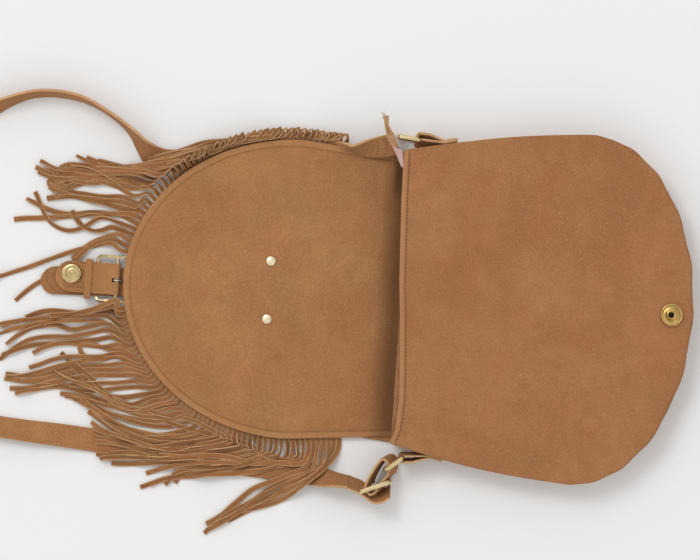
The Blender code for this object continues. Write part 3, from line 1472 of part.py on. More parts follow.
# Each moving body hangs on an empty on its joint's axis.
def hang(joint, where, names):
    empty = bpy.data.objects.new(joint, None)
    empty.location = Vector(where) * MM
    collection.objects.link(empty)
    for name in names:
        item = bpy.data.objects[name]
        item.parent = empty
        item.matrix_parent_inverse = Matrix.Translation(-empty.location)


FLAP_PIECES = [
    "flap_outer", "flap_lining", "fringe_far", "fringe_near", "rivet_post_far", "rivet_post_near",
    "rivet_cap_far", "rivet_cap_near", "closure_billet", "closure_chape", "closure_keeper", "closure_buckle",
    "snap_stud", "snap_stud_washer",
]
hang("flap_fold", (FOLD_X, 0, FOLD_HEIGHT), FLAP_PIECES)
hang("closure_prong_axis", (BUCKLE_X, CLOSURE_Y, CENTRE_BAR_HEIGHT), ["closure_prong"])
hang("far_ring_axis", (*FAR_INNER_BAR, RING_MIDDLE), ["far_ring", "strap_end_loop"])
NEAR_RING_PIECES = ["near_ring", "strap_chape", "strap_buckle", "strap_tail"]
hang("near_ring_axis", (*NEAR_INNER_BAR, RING_MIDDLE), NEAR_RING_PIECES)
hang("strap_prong_axis", (*STRAP_BAR, RING_MIDDLE), ["strap_prong"])
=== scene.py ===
"""The looks of a fringed suede shoulder bag, which lies on a pale floor with its flap thrown open."""

import math
import random

import bmesh
import bpy
import numpy as np
from mathutils import Matrix, Vector, noise
from mathutils.bvhtree import BVHTree


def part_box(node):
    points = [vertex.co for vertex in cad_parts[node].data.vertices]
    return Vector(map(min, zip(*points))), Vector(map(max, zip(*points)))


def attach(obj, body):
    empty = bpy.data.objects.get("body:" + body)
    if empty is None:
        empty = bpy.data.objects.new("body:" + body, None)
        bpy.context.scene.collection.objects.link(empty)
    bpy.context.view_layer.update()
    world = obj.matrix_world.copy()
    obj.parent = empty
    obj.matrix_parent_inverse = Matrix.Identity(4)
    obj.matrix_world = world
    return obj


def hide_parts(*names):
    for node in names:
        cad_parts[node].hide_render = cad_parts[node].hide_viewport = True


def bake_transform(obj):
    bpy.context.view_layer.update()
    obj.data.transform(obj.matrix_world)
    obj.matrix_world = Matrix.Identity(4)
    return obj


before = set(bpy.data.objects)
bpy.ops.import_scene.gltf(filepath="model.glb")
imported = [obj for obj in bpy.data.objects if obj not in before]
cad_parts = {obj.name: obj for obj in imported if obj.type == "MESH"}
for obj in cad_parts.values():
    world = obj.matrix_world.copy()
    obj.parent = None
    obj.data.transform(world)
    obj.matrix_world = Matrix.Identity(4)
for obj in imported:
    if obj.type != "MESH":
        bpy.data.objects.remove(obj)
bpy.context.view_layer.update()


# Floor, light and camera. The bag lies on white card under soft even light from all round, with a
# broad lamp on the upper left, and the camera looks straight down at it.
MM = 0.001
FLOOR_SIDE = 4.0
FLOOR_DROP = 0.3 * MM
WHITE_CARD = (0.81, 0.81, 0.805, 1.0)
VIEW_CENTRE = Vector((-40.9, 10.8, 0.0)) * MM
VIEW_WIDTH = 560 * MM
VIEW_TURN = math.radians(4.02)
CAMERA_HEIGHT = 6.0
SENSOR = 36.0
SKY_STRENGTH = 0.84
LAMP_SIZE = 2.0
LAMP_ENERGY = 80.0
LAMP_PLACE = (-2.0, 2.3, 4.4)

floor_mesh = bmesh.new()
bmesh.ops.create_grid(floor_mesh, x_segments=1, y_segments=1, size=FLOOR_SIDE / 2)
bmesh.ops.translate(floor_mesh, verts=floor_mesh.verts, vec=(0, 0, -FLOOR_DROP))
floor_data = bpy.data.meshes.new("floor")
floor_mesh.to_mesh(floor_data)
floor_mesh.free()
floor = bpy.data.objects.new("floor", floor_data)
bpy.context.scene.collection.objects.link(floor)
card = bpy.data.materials.new("white_card")
card.use_nodes = True
card_shader = card.node_tree.nodes["Principled BSDF"]
card_shader.inputs["Base Color"].default_value = WHITE_CARD
card_shader.inputs["Roughness"].default_value = 0.9
card_shader.inputs["Specular IOR Level"].default_value = 0.1
floor_data.materials.append(card)

world = bpy.data.worlds.new("studio")
bpy.context.scene.world = world
world.use_nodes = True
background = world.node_tree.nodes["Background"]
background.inputs["Color"].default_value = (1.0, 1.0, 1.0, 1.0)
background.inputs["Strength"].default_value = SKY_STRENGTH

lamp_data = bpy.data.lights.new("lamp", "AREA")
lamp_data.size = LAMP_SIZE
lamp_data.energy = LAMP_ENERGY
lamp = bpy.data.objects.new("lamp", lamp_data)
lamp.location = LAMP_PLACE
lamp.rotation_euler = (VIEW_CENTRE - lamp.location).to_track_quat("-Z", "Y").to_euler()
bpy.context.scene.collection.objects.link(lamp)

camera_data = bpy.data.cameras.new("camera")
camera_data.sensor_width = SENSOR
camera_data.lens = SENSOR * CAMERA_HEIGHT / VIEW_WIDTH
camera = bpy.data.objects.new("camera", camera_data)
camera.location = VIEW_CENTRE + Vector((0, 0, CAMERA_HEIGHT))
camera.rotation_euler = (0, 0, VIEW_TURN)
bpy.context.scene.collection.objects.link(camera)
bpy.context.scene.camera = camera
bpy.context.scene.view_settings.view_transform = "Standard"


# Shoulder strap. Two layers of tan suede sewn back to back along both edges. It is one loop from
# the far ring, under the flap, round on the floor and back to the buckle by the near ring.
TAN = (0.376, 0.178, 0.071)
TAN_LIGHT = (0.475, 0.240, 0.105)
TAN_DARK = (0.255, 0.110, 0.042)
RUDDY = (1.03, 0.86, 0.84)
OLIVE = (0.96, 1.04, 0.92)
TINGE_SHARE = 0.32
RAW_EDGE = (0.56, 0.33, 0.165)
RAW_EDGE_LIGHT = (0.66, 0.43, 0.24)
RAW_EDGE_DARK = (0.36, 0.19, 0.085)
THREAD = (0.20, 0.095, 0.045)
STRAP_WIDTH = 18.5
STRAP_THICKNESS = 2.4
RING_MIDDLE = 13.7
STRAP_LENGTH = 0.918
STITCH_INSET = 2.6
STITCH_PITCH = 3.4

# The strap's middle line in plan, with the tilt of its face in degrees.
STRAP_ROUTE = [
    (-46.4, 115.2, 76), (-52, 114.8, 58), (-59, 113.4, 30), (-67, 111, 9), (-80, 108.4, 0),
    (-100, 107.4, 0), (-125, 106.6, 0), (-150, 103, 0), (-172, 98.5, 0), (-190, 95.6, 4),
    (-203, 97.6, 12), (-213, 105.5, 52), (-222, 115.5, 74), (-233, 124.5, 82), (-247, 133, 84),
    (-262, 139.6, 80), (-278, 142.6, 77), (-294, 142.8, 76), (-310, 139.4, 74), (-330, 130, 62),
    (-352, 114, 38), (-372, 92, 12), (-387, 66, 0), (-395, 36, 0), (-397, 4, 0), (-394, -28, 0),
    (-385, -58, 0), (-370, -86, 0), (-349, -108, 6), (-322, -123.5, 26), (-296, -127.2, 24),
    (-264, -129.2, 12), (-235, -131.4, 0),
    (-191, -134.5, 0), (-151, -139, 0), (-112, -142.4, 0), (-88, -143.6, 0), (-72, -145, 6),
    (-60, -146.6, 22), (-48, -148.4, 44), (-40, -149.2, 57), (-30.8, -150.2, 62),
]

# The noises of the nap: scale, detail, roughness and, for one, how it is stretched.
NAP_NOISES = {
    "mottled": (75.0, 4.0, 0.65),
    "rubbed": (34.0, 5.0, 0.6, (1.0, 0.6, 1.0)),
    "pile": (420.0, 3.0, 0.65),
    "grain": (1500.0, 2.0, 0.6),
    "tufts": (820.0, 3.0, 0.7),
}
# What they do to the colour, one after another: from where to where the noise counts, how strongly,
# and whether it lightens or darkens.
NAP_LAYERS = [
    ("mottled", 0.40, 0.66, 0.44, "darker"),
    ("rubbed", 0.54, 0.70, 0.50, "lighter"),
    ("pile", 0.35, 0.70, 0.34, "darker"),
    ("grain", 0.40, 0.75, 0.46, "lighter"),
    ("tufts", 0.50, 0.64, 0.62, "lighter"),
    ("tufts", 0.50, 0.36, 0.58, "darker"),
]


def mix_node(tree, factor, first, second, blend="MIX"):
    mix = tree.nodes.new("ShaderNodeMix")
    mix.data_type = "RGBA"
    mix.blend_type = blend
    for socket, value in (("Factor", factor), ("A", first), ("B", second)):
        # A mix node repeats each name once for each type: the colour pair comes third.
        place = {"Factor": 0, "A": 6, "B": 7}[socket]
        if isinstance(value, bpy.types.NodeSocket):
            tree.links.new(value, mix.inputs[place])
        elif isinstance(value, tuple):
            mix.inputs[place].default_value = (*value, 1.0)
        else:
            mix.inputs[place].default_value = value
    return mix.outputs[2]


def noise_node(tree, coordinates, scale, detail=3.0, roughness=0.55, stretch=None):
    if stretch:
        mapping = tree.nodes.new("ShaderNodeMapping")
        mapping.inputs["Scale"].default_value = stretch
        tree.links.new(coordinates, mapping.inputs["Vector"])
        coordinates = mapping.outputs["Vector"]
    texture = tree.nodes.new("ShaderNodeTexNoise")
    texture.inputs["Scale"].default_value = scale
    texture.inputs["Detail"].default_value = detail
    texture.inputs["Roughness"].default_value = roughness
    tree.links.new(coordinates, texture.inputs["Vector"])
    return texture.outputs["Fac"]


def spread(tree, value, low, high):
    """The value stretched so that low to high fills 0 to 1."""
    stretched = tree.nodes.new("ShaderNodeMapRange")
    stretched.inputs["From Min"].default_value = low
    stretched.inputs["From Max"].default_value = high
    tree.links.new(value, stretched.inputs["Value"])
    return stretched.outputs["Result"]


def toward(colour, other, share):
    return tuple(a + (b - a) * share for a, b in zip(colour, other))


def tinted(colour, tint):
    return tuple(a * b for a, b in zip(colour, tint))


def math_node(tree, operation, first, second=None):
    """A sum, a product or the like. Each value is a socket or a number."""
    node = tree.nodes.new("ShaderNodeMath")
    node.operation = operation
    for place, value in enumerate((first, second)):
        if isinstance(value, bpy.types.NodeSocket):
            tree.links.new(value, node.inputs[place])
        elif value is not None:
            node.inputs[place].default_value = value
    return node.outputs[0]


def scaled(tree, value, factor):
    return math_node(tree, "MULTIPLY", value, factor)


def suede(name, tone=TAN, light=TAN_LIGHT, dark=TAN_DARK, blotches=16.0, nap=1.0):
    """Napped suede. Brushed blotches, mottling and rubbed places vary its colour, and pile, grain and
    tufts do so more finely. The pile and the grain are bump as well."""
    material = bpy.data.materials.new(name)
    material.use_nodes = True
    tree = material.node_tree
    shader = tree.nodes["Principled BSDF"]
    where = tree.nodes.new("ShaderNodeTexCoord").outputs["Object"]
    noises = {layer: noise_node(tree, where, *values) for layer, values in NAP_NOISES.items()}
    brushed = spread(tree, noise_node(tree, where, blotches, 5.0, 0.62), 0.36, 0.66)
    colour = mix_node(tree, brushed, toward(tone, dark, 0.85), toward(tone, light, 0.78))
    for layer, low, high, strength, change in NAP_LAYERS:
        shown = scaled(tree, spread(tree, noises[layer], low, high), strength)
        colour = mix_node(tree, shown, colour, light if change == "lighter" else dark)
    tinge = spread(tree, noise_node(tree, where, 26.0, 3.0, 0.6), 0.40, 0.62)
    tinge = mix_node(tree, tinge, tinted(tone, RUDDY), tinted(tone, OLIVE))
    tree.links.new(mix_node(tree, TINGE_SHARE, colour, tinge), shader.inputs["Base Color"])
    shader.inputs["Roughness"].default_value = 0.94
    shader.inputs["Specular IOR Level"].default_value = 0.12
    shader.inputs["Sheen Weight"].default_value = 0.12
    shader.inputs["Sheen Roughness"].default_value = 0.5
    shader.inputs["Sheen Tint"].default_value = (0.95, 0.75, 0.55, 1.0)
    bump = tree.nodes.new("ShaderNodeBump")
    bump.inputs["Strength"].default_value = 0.5 * nap
    bump.inputs["Distance"].default_value = 0.5 * MM
    tree.links.new(math_node(tree, "ADD", noises["grain"], noises["pile"]), bump.inputs["Height"])
    tree.links.new(bump.outputs["Normal"], shader.inputs["Normal"])
    return material


def thread_material(name, colour):
    material = bpy.data.materials.new(name)
    material.use_nodes = True
    tree = material.node_tree
    shader = tree.nodes["Principled BSDF"]
    where = tree.nodes.new("ShaderNodeTexCoord").outputs["Object"]
    ply = spread(tree, noise_node(tree, where, 1800.0, 2.0), 0.35, 0.65)
    lighter = tuple(min(1.0, 1.5 * c) for c in colour)
    tree.links.new(mix_node(tree, ply, colour, lighter), shader.inputs["Base Color"])
    shader.inputs["Roughness"].default_value = 0.75
    return material


tan_suede = suede("tan_suede")
raw_edge = suede("raw_edge", RAW_EDGE, RAW_EDGE_LIGHT, RAW_EDGE_DARK, 60.0)
brown_thread = thread_material("brown_thread", THREAD)


def piece_of(name, bm, materials):
    """A finished piece from a bmesh, at the origin."""
    mesh = bpy.data.meshes.new(name)
    bm.to_mesh(mesh)
    bm.free()
    mesh.shade_smooth()
    mesh.set_sharp_from_angle(angle=math.radians(50))
    piece = bpy.data.objects.new(name, mesh)
    bpy.context.scene.collection.objects.link(piece)
    for material in materials:
        mesh.materials.append(material)
    return piece


def smooth_line(points, spacing):
    """Points about this far apart on a smooth curve through the given ones."""
    knots = [Vector(p) for p in points]
    knots = [knots[0] * 2 - knots[1], *knots, knots[-1] * 2 - knots[-2]]
    fine = []
    for i in range(1, len(knots) - 2):
        before, start, end, after = knots[i - 1 : i + 3]
        for step in range(16):
            t = step / 16
            bend = 2 * before - 5 * start + 4 * end - after
            twist = 3 * start - 3 * end + after - before
            fine.append(0.5 * (2 * start + (end - before) * t + bend * t**2 + twist * t**3))
    fine.append(knots[-2])
    lengths = np.concatenate([[0.0], np.cumsum([(b - a).length for a, b in zip(fine, fine[1:])])])
    wanted = np.linspace(0.0, lengths[-1], max(2, round(lengths[-1] / spacing) + 1))
    return at_lengths(np.array(fine), lengths, wanted)


def lengths_along(table):
    """How far along the line through these points each of them lies."""
    return np.concatenate([[0.0], np.cumsum(np.linalg.norm(np.diff(table, axis=0), axis=1))])


def at_lengths(table, lengths, wanted):
    """The points that lie this far along the line."""
    return np.stack([np.interp(wanted, lengths, column) for column in table.T], axis=1)


def along_line(table):
    """place(u) on the line through these points, u from 0 to 1 by its length."""
    lengths = lengths_along(table)
    lengths /= lengths[-1]
    return lambda u: [float(np.interp(u, lengths, column)) for column in table.T]


def smooth_step(low, high, value):
    share = min(max((value - low) / (high - low), 0.0), 1.0)
    return share * share * (3.0 - 2.0 * share)


def thickened(piece, thickness, even=True):
    """Gives a sheet its thickness. Its cut edges take its second material, if it has two."""
    wall = piece.modifiers.new("thickness", "SOLIDIFY")
    wall.thickness = thickness * MM
    wall.offset = 0.0
    wall.use_even_offset = even
    wall.material_offset_rim = 1 if len(piece.data.materials) > 1 else 0


def worn_edges(piece, softness, sharper_than):
    """Rounds the edges that turn by more than this many degrees."""
    round_off = piece.modifiers.new("worn edge", "BEVEL")
    round_off.width = softness * MM
    round_off.segments = 2
    round_off.limit_method = "ANGLE"
    round_off.angle_limit = math.radians(sharper_than)


def leather_sheet(name, along, across, place, thickness, materials, edge_softness=0.0):
    """A sheet about the surface place(u, v), which is in millimetres."""
    bm = bmesh.new()
    bmesh.ops.create_grid(bm, x_segments=along, y_segments=across, size=0.5)
    for vert in bm.verts:
        vert.co = Vector(place(vert.co.x + 0.5, vert.co.y + 0.5)) * MM
    piece = piece_of(name, bm, materials)
    thickened(piece, thickness)
    if edge_softness:
        worn_edges(piece, edge_softness, 60)
    return piece


def strap_height(x, tilt):
    """The strap lies on the floor, but its two ends are held up at the height of the rings."""
    turn = math.radians(tilt)
    lying = 0.15 + (STRAP_WIDTH * math.sin(turn) + STRAP_THICKNESS * math.cos(turn)) / 2
    return lying + (RING_MIDDLE - lying) * smooth_step(-62.0, -44.0, x)


strap_line = along_line(smooth_line(STRAP_ROUTE, 4.0))


def strap_middle(u):
    x, y, tilt = strap_line(u)
    tilt = min(max(tilt, 0.0), 88.0)
    ahead = strap_line(min(u + 0.003, 1.0))
    behind = strap_line(max(u - 0.003, 0.0))
    heading = Vector((ahead[0] - behind[0], ahead[1] - behind[1], 0.0)).normalized()
    turn = math.radians(tilt)
    side = Vector((heading.y, -heading.x, 0.0)) * math.cos(turn) + Vector((0, 0, math.sin(turn)))
    return Vector((x, y, strap_height(x, tilt))), side


def strap_surface(u, v):
    middle, side = strap_middle(u)
    return middle + side * STRAP_WIDTH * (v - 0.5)


shoulder_strap = leather_sheet(
    "suede_shoulder_strap", 260, 4, strap_surface, STRAP_THICKNESS, [tan_suede, raw_edge], 0.5
)
strap_path = [tuple(strap_middle(share)[0] * MM) for share in np.linspace(0.0, 1.0, 90)]
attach(shoulder_strap, "bag")
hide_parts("shoulder_strap")


# Strap stitches. One row of brown thread runs along each edge of the strap, through both of its
# layers, and holds them together.
def sew(name, points, normals, material, length=2.3, width=0.55, sunk=0.12):
    """One row of stitches, each a short rounded bead of thread that points along the row."""
    bm = bmesh.new()
    for i, (point, normal) in enumerate(zip(points, normals)):
        ahead = points[min(i + 1, len(points) - 1)] - points[max(i - 1, 0)]
        along = (ahead - normal * ahead.dot(normal)).normalized()
        across = normal.cross(along)
        made = bmesh.ops.create_icosphere(bm, subdivisions=1, radius=0.5)["verts"]
        turn = Matrix((along * length, across * width, normal * width)).transposed()
        for vert in made:
            vert.co = point + (turn @ vert.co - normal * (sunk - width * 0.1)) * MM
    return piece_of(name, bm, [material])


strap_count = round(STRAP_LENGTH / (STITCH_PITCH * MM))
for row, edge in (("outer", 1), ("inner", -1)):
    spots = []
    faces = []
    for share in np.linspace(0.004, 0.996, strap_count):
        middle, side = strap_middle(share)
        ahead = strap_middle(min(share + 0.002, 1.0))[0] - strap_middle(max(share - 0.002, 0.0))[0]
        up = side.cross(ahead).normalized()
        up = up if up.z >= 0 else -up
        aside = side * edge * (STRAP_WIDTH / 2 - STITCH_INSET)
        spots.append((middle + aside + up * STRAP_THICKNESS / 2) * MM)
        faces.append(up)
    strap_stitches = sew(f"strap_stitches_{row}", spots, faces, brown_thread)
    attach(strap_stitches, "bag")


# Back and flap hide. One piece of suede makes the back of the bag, runs over the fold and is the
# outside of the flap, which lies face down. It bends at the fold, so it is blended across it.
FOLD_X = -24.0
MOUTH_HALF = 116.5
BODY_HALF = 139.5
BODY_WIDEST = 145.0
BODY_LENGTH = 234.0
SIDE_BULGE = 4.0
FLAP_ROOT_HALF = 114.0
FLAP_HALF = 119.5
FLAP_WIDEST = -85.0
FLAP_REACH = 136.5
SKIN = 1.2
FLAP_UNDERSIDE = 1.8
# A ray that looks for the flap's height starts this far inside its outline.
RAY_MARGIN = 2.0
# Of the hide's length, the flap takes the part before the first share and the back that after the second.
NECK_START = 0.46
NECK_END = 0.54


def tongue_plan(root_x, root_half, wide_x, wide_half, reach, bulge=0.0):
    """A tongue-shaped outline: place(along, across), along 0 at its root, across -1 to 1."""

    def place(along, across):
        angle = across * math.pi / 2
        x = root_x + along * (wide_x + reach * math.cos(angle) - root_x)
        half = (1 - along) * root_half + along * wide_half + bulge * math.sin(math.pi * along)
        return x, half * math.sin(angle)

    return place


flap_plan = tongue_plan(FOLD_X, FLAP_ROOT_HALF, FLAP_WIDEST, FLAP_HALF, -FLAP_REACH)
body_plan = tongue_plan(0.0, MOUTH_HALF, BODY_WIDEST, BODY_HALF, BODY_LENGTH - BODY_WIDEST, SIDE_BULGE)


def flap_half(x):
    """Half the flap's width, between the fold and its widest place."""
    return FLAP_ROOT_HALF + (FLAP_HALF - FLAP_ROOT_HALF) * (FOLD_X - x) / (FOLD_X - FLAP_WIDEST)


def solid_tree(*names):
    """The frame's nodes or finished pieces, ready to have rays cast at them."""
    graph = bpy.context.evaluated_depsgraph_get()
    bm = bmesh.new()
    for name in names:
        mesh = bpy.data.objects[name].evaluated_get(graph).to_mesh()
        bm.from_mesh(mesh)
    tree = BVHTree.FromBMesh(bm)
    bm.free()
    return tree


def top_at(tree, x, y, fallback=None):
    """The highest point of the solids at this place, in millimetres."""
    hit = tree.ray_cast(Vector((x * MM, y * MM, 1.0)), Vector((0, 0, -1)))[0]
    return hit.z / MM if hit else fallback


def bottom_at(tree, x, y, fallback):
    """Their lowest point, in millimetres."""
    hit = tree.ray_cast(Vector((x * MM, y * MM, -1.0)), Vector((0, 0, 1)))[0]
    return hit.z / MM if hit else fallback


def ripple(x, y, size, seed):
    """A slow unevenness between -1 and 1, as worn suede has when it lies down."""
    return noise.noise(Vector((x / size, y / size, seed)))


def slack_at(x, y, ripples):
    """How far a slack skin stands out, from ripples that each have a height, a size and a seed."""
    return sum(height * ripple(x, y, size, seed) for height, size, seed in ripples)


flap_outer_tree = solid_tree("flap_outer")
flap_lining_tree = solid_tree("flap_lining")


def in_flap(x, y):
    """The place drawn in from the flap's outline by the margin, so that a ray there meets the flap."""
    if x > FLAP_WIDEST:
        half = flap_half(x) - RAY_MARGIN
        return min(x, FOLD_X - 1.0), max(-half, min(half, y))
    reach = math.hypot((x - FLAP_WIDEST) / (FLAP_REACH - RAY_MARGIN), y / (FLAP_HALF - RAY_MARGIN))
    if reach <= 1:
        return x, y
    return FLAP_WIDEST + (x - FLAP_WIDEST) / reach, y / reach


def flap_under(x, y):
    return bottom_at(flap_outer_tree, *in_flap(x, y), FLAP_UNDERSIDE)


def hide_surface(u, v):
    across = 2 * v - 1
    if u < NECK_START:
        x, y = flap_plan(1 - u / NECK_START, across)
        return x, y, flap_under(x, y) + SKIN / 2
    if u < NECK_END:
        share = (u - NECK_START) / (NECK_END - NECK_START)
        x = FOLD_X * (1 - share)
        half = FLAP_ROOT_HALF + (MOUTH_HALF - FLAP_ROOT_HALF) * share
        lifted = FLAP_UNDERSIDE * smooth_step(0.0, -FOLD_X, -x)
        return x, half * math.sin(across * math.pi / 2), SKIN / 2 + lifted
    x, y = body_plan((u - NECK_END) / (1 - NECK_END), across)
    return x, y, SKIN / 2


def relaxed(piece, rounds):
    """Smooths out the facets of a sheet, but leaves its border where it is."""
    bm = bmesh.new()
    bm.from_mesh(piece.data)
    inner = [vert for vert in bm.verts if not vert.is_boundary]
    for _ in range(rounds):
        bmesh.ops.smooth_vert(bm, verts=inner, factor=0.5, use_axis_z=True)
    bm.to_mesh(piece.data)
    bm.free()


hide = leather_sheet("back_and_flap_hide", 100, 48, hide_surface, SKIN, [tan_suede, raw_edge])
relaxed(hide, 3)
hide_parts("back_panel", "flap_outer")
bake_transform(hide)


# Flap facing. The suede that lines the flap is turned up in the photograph, and runs over the fold
# into the mouth as the back's facing. It is sewn to the hide a few millimetres inside their edge.
FACING_REACH = 20.0
FACING_HALF = 112.0
FACING_SLACK = ((0.7, 38.0, 3.0), (0.35, 15.0, 8.0))
FLAP_STACK = 2 * SKIN + 0.3
EDGE_SEAM = 5.0
GROOVE_DEPTH = 0.45
GROOVE_WIDTH = 1.6
# The flap takes this share of the facing's length, and the rest goes down into the mouth.
FACING_ROWS = 0.84
FOLD_HEIGHT = 3.9
FOLD_DIP = 1.6
# The mouth's shade begins and is full at these places along X, and the wedge of it at the far corner
# at these along X and across.
SHADE_ALONG = (-19.0, -5.0)
SHADE_STRENGTH = 0.62
WEDGE_ALONG = (-13.0, -9.0)
WEDGE_ACROSS = (72.0, 92.0)
WEDGE_STRENGTH = 0.75
MOUTH_SHADE = tuple(0.30 * c for c in TAN_DARK)
# Colour of the painted shade in a seam's groove, and how strongly it is laid on.
GROOVE_SHADE = tuple(0.6 * c for c in TAN_DARK)
GROOVE_SHADE_SHARE = 0.4


def flap_top(x, y):
    return top_at(flap_lining_tree, *in_flap(x, y), FLAP_UNDERSIDE + FLAP_STACK)


def inside_edge(x, y):
    """How far a place lies inside the flap's outline."""
    if x > FLAP_WIDEST:
        return flap_half(x) - abs(y)
    reach = math.hypot((x - FLAP_WIDEST) / FLAP_REACH, y / FLAP_HALF)
    return (1 - reach) * math.hypot(x - FLAP_WIDEST, y) / max(reach, 0.01)


def facing_surface(u, v):
    across = 2 * v - 1
    if u < FACING_ROWS:
        x, y = flap_plan(1 - u / FACING_ROWS, across)
        from_seam = inside_edge(x, y) - EDGE_SEAM
        groove = GROOVE_DEPTH * math.exp(-((from_seam / GROOVE_WIDTH) ** 2))
        lift = max(slack_at(x, y, FACING_SLACK), -0.1) * smooth_step(0.0, 12.0, from_seam)
        return x, y, flap_top(x, y) - SKIN / 2 + 0.5 * lift - groove
    share = (u - FACING_ROWS) / (1 - FACING_ROWS)
    x = FOLD_X + (FACING_REACH - FOLD_X) * share
    half = FLAP_ROOT_HALF + (FACING_HALF - FLAP_ROOT_HALF) * smooth_step(0.0, 0.3, share)
    height = FOLD_HEIGHT - FOLD_DIP * smooth_step(FOLD_X, 0.0, x)
    return x, half * math.sin(across * math.pi / 2), height


def shaded_suede(name):
    """Suede with painted shade: darker where the bag's mouth takes it in, and most so at the far corner."""
    material = suede(name)
    tree = material.node_tree
    shader = tree.nodes["Principled BSDF"]
    colour = shader.inputs["Base Color"].links[0].from_socket
    split = tree.nodes.new("ShaderNodeSeparateXYZ")
    tree.links.new(tree.nodes.new("ShaderNodeTexCoord").outputs["Object"], split.inputs[0])
    along, across = split.outputs["X"], split.outputs["Y"]
    inward = scaled(tree, spread(tree, along, *(place * MM for place in SHADE_ALONG)), SHADE_STRENGTH)
    colour = mix_node(tree, inward, colour, MOUTH_SHADE)
    corner = scaled(tree, spread(tree, across, *(place * MM for place in WEDGE_ACROSS)), WEDGE_STRENGTH)
    inner = spread(tree, along, *(place * MM for place in WEDGE_ALONG))
    wedge = math_node(tree, "MULTIPLY", corner, inner)
    tree.links.new(mix_node(tree, wedge, colour, MOUTH_SHADE), shader.inputs["Base Color"])
    return material


def seamed(piece, material, distance, seam, highlight_share=0.25):
    """Paints shade along the fine groove where a seam presses the suede down, and a painted highlight on
    the rim outside it. The seam is at this distance, in millimetres, by the function that measures it."""
    layer = piece.data.attributes.new("from_edge", "FLOAT", "POINT")
    for vert, item in zip(piece.data.vertices, layer.data):
        item.value = distance(vert.co.x / MM, vert.co.y / MM)
    tree = material.node_tree
    shader = tree.nodes["Principled BSDF"]
    colour = shader.inputs["Base Color"].links[0].from_socket
    own = tree.nodes.new("ShaderNodeAttribute")
    own.attribute_name = "from_edge"
    # Painted highlight on the rim outside the seam.
    rim = scaled(tree, spread(tree, own.outputs["Fac"], seam + 0.2, seam - 0.8), highlight_share)
    colour = mix_node(tree, rim, colour, TAN_LIGHT)
    # Painted shade along the seam's groove.
    outer = spread(tree, own.outputs["Fac"], seam - 1.0, seam - 0.2)
    inner = spread(tree, own.outputs["Fac"], seam + 1.6, seam + 0.2)
    line = scaled(tree, math_node(tree, "MULTIPLY", outer, inner), GROOVE_SHADE_SHARE)
    tree.links.new(mix_node(tree, line, colour, GROOVE_SHADE), shader.inputs["Base Color"])


# The facing's colour carries painted shade where it runs into the mouth, darkest in a wedge at the far
# corner.
facing_suede = shaded_suede("facing_suede")
facing = leather_sheet("flap_facing", 150, 96, facing_surface, SKIN, [facing_suede, raw_edge])
# Painted shade along the flap's seam groove and a painted highlight on the rim outside it.
seamed(facing, facing_suede, inside_edge, EDGE_SEAM)
relaxed(facing, 1)
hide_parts("flap_lining", "back_facing")
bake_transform(facing)


# Flap stitches. One row of brown thread holds the facing, the fringe and the hide together all round
# the flap, and starts a little way from the fold.
STITCHED_FROM = -46.0
FLAP_STITCH = {"width": 0.5, "sunk": 0.16}


def row_of_stitches(name, spots, tree, body, material=brown_thread, pitch=STITCH_PITCH, **shape):
    """Stitches along a line in plan, each laid on the solid under it."""
    table = np.array(spots, float)
    lengths = lengths_along(table)
    points = []
    normals = []
    for x, y in at_lengths(table, lengths, np.arange(pitch / 2, lengths[-1], pitch)):
        place, normal = tree.ray_cast(Vector((x * MM, y * MM, 1.0)), Vector((0, 0, -1)))[:2]
        if place:
            points.append(place)
            normals.append(normal)
    stitches = sew(name, points, normals, material, **shape)
    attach(stitches, body)


facing_tree = solid_tree("flap_facing")
far_side = [(x, flap_half(x) - EDGE_SEAM) for x in np.linspace(STITCHED_FROM, FLAP_WIDEST, 6)]
near_side = [(x, -y) for x, y in reversed(far_side)]
tip = []
for turn in np.linspace(math.pi / 2, -math.pi / 2, 120):
    x = FLAP_WIDEST - (FLAP_REACH - EDGE_SEAM) * math.cos(turn)
    tip.append((x, (FLAP_HALF - EDGE_SEAM) * math.sin(turn)))
row_of_stitches("flap_stitches", far_side + tip + near_side, facing_tree, "flap", **FLAP_STITCH)


# Fringe. Two bands of suede are sewn between the flap's layers and cut into long strips, which stand
# out of the seam in little hoops and then fall in swirls round the strap and the closure. Where
# each strip lies is read off the photograph.
PHOTO_SCALE = 0.8
PHOTO_MIDDLE = (400.0, 297.0)
STRIP_WIDTH = 4.3
STRIP_THICKNESS = 0.9
BAND_WIDTH = 12.0
BAND_OVERHANG = 0.8
BAND_DROP = 0.65
CLOSURE_Y = -1.7
CLOSURE_NOTCH = 20.5
FAR_STRIPS = 46
NEAR_STRIPS = 54
FAR_START = 26.0
NEAR_START = 15.0
STATION = 3.0
CELL = 0.75
PILE_LOW = np.array([-480.0, -290.0])
PILE_SIZE = (1000, 760)
# Each strip adds this much to the height of what it crosses, less than its thickness where many do.
LAYER_RISE = 0.95
PILE_LIMIT = 16.0
STRIP_CLEARANCE = 0.25
STEEPEST = 0.55
HOOP_PLACE = 8.5
HOOP_REACH = 7.0
# How high a hoop stands and how far it leans over, at the least and for the liveliest strip besides.
HOOP_RISE = (1.5, 2.5)
HOOP_LEAN = (0.95, 0.4)
ROLL = 2.1
STEEPEST_ROLL = 1.35
LIFT = 4.0
CURL = 0.45
WANDER = 5.0
NARROWEST = 0.8
DARKEST = 0.75
CUT_EDGE = (0.56, 0.34, 0.18)
FLAP_INSIDE = np.array([FLAP_WIDEST + 40.0, 0.0])
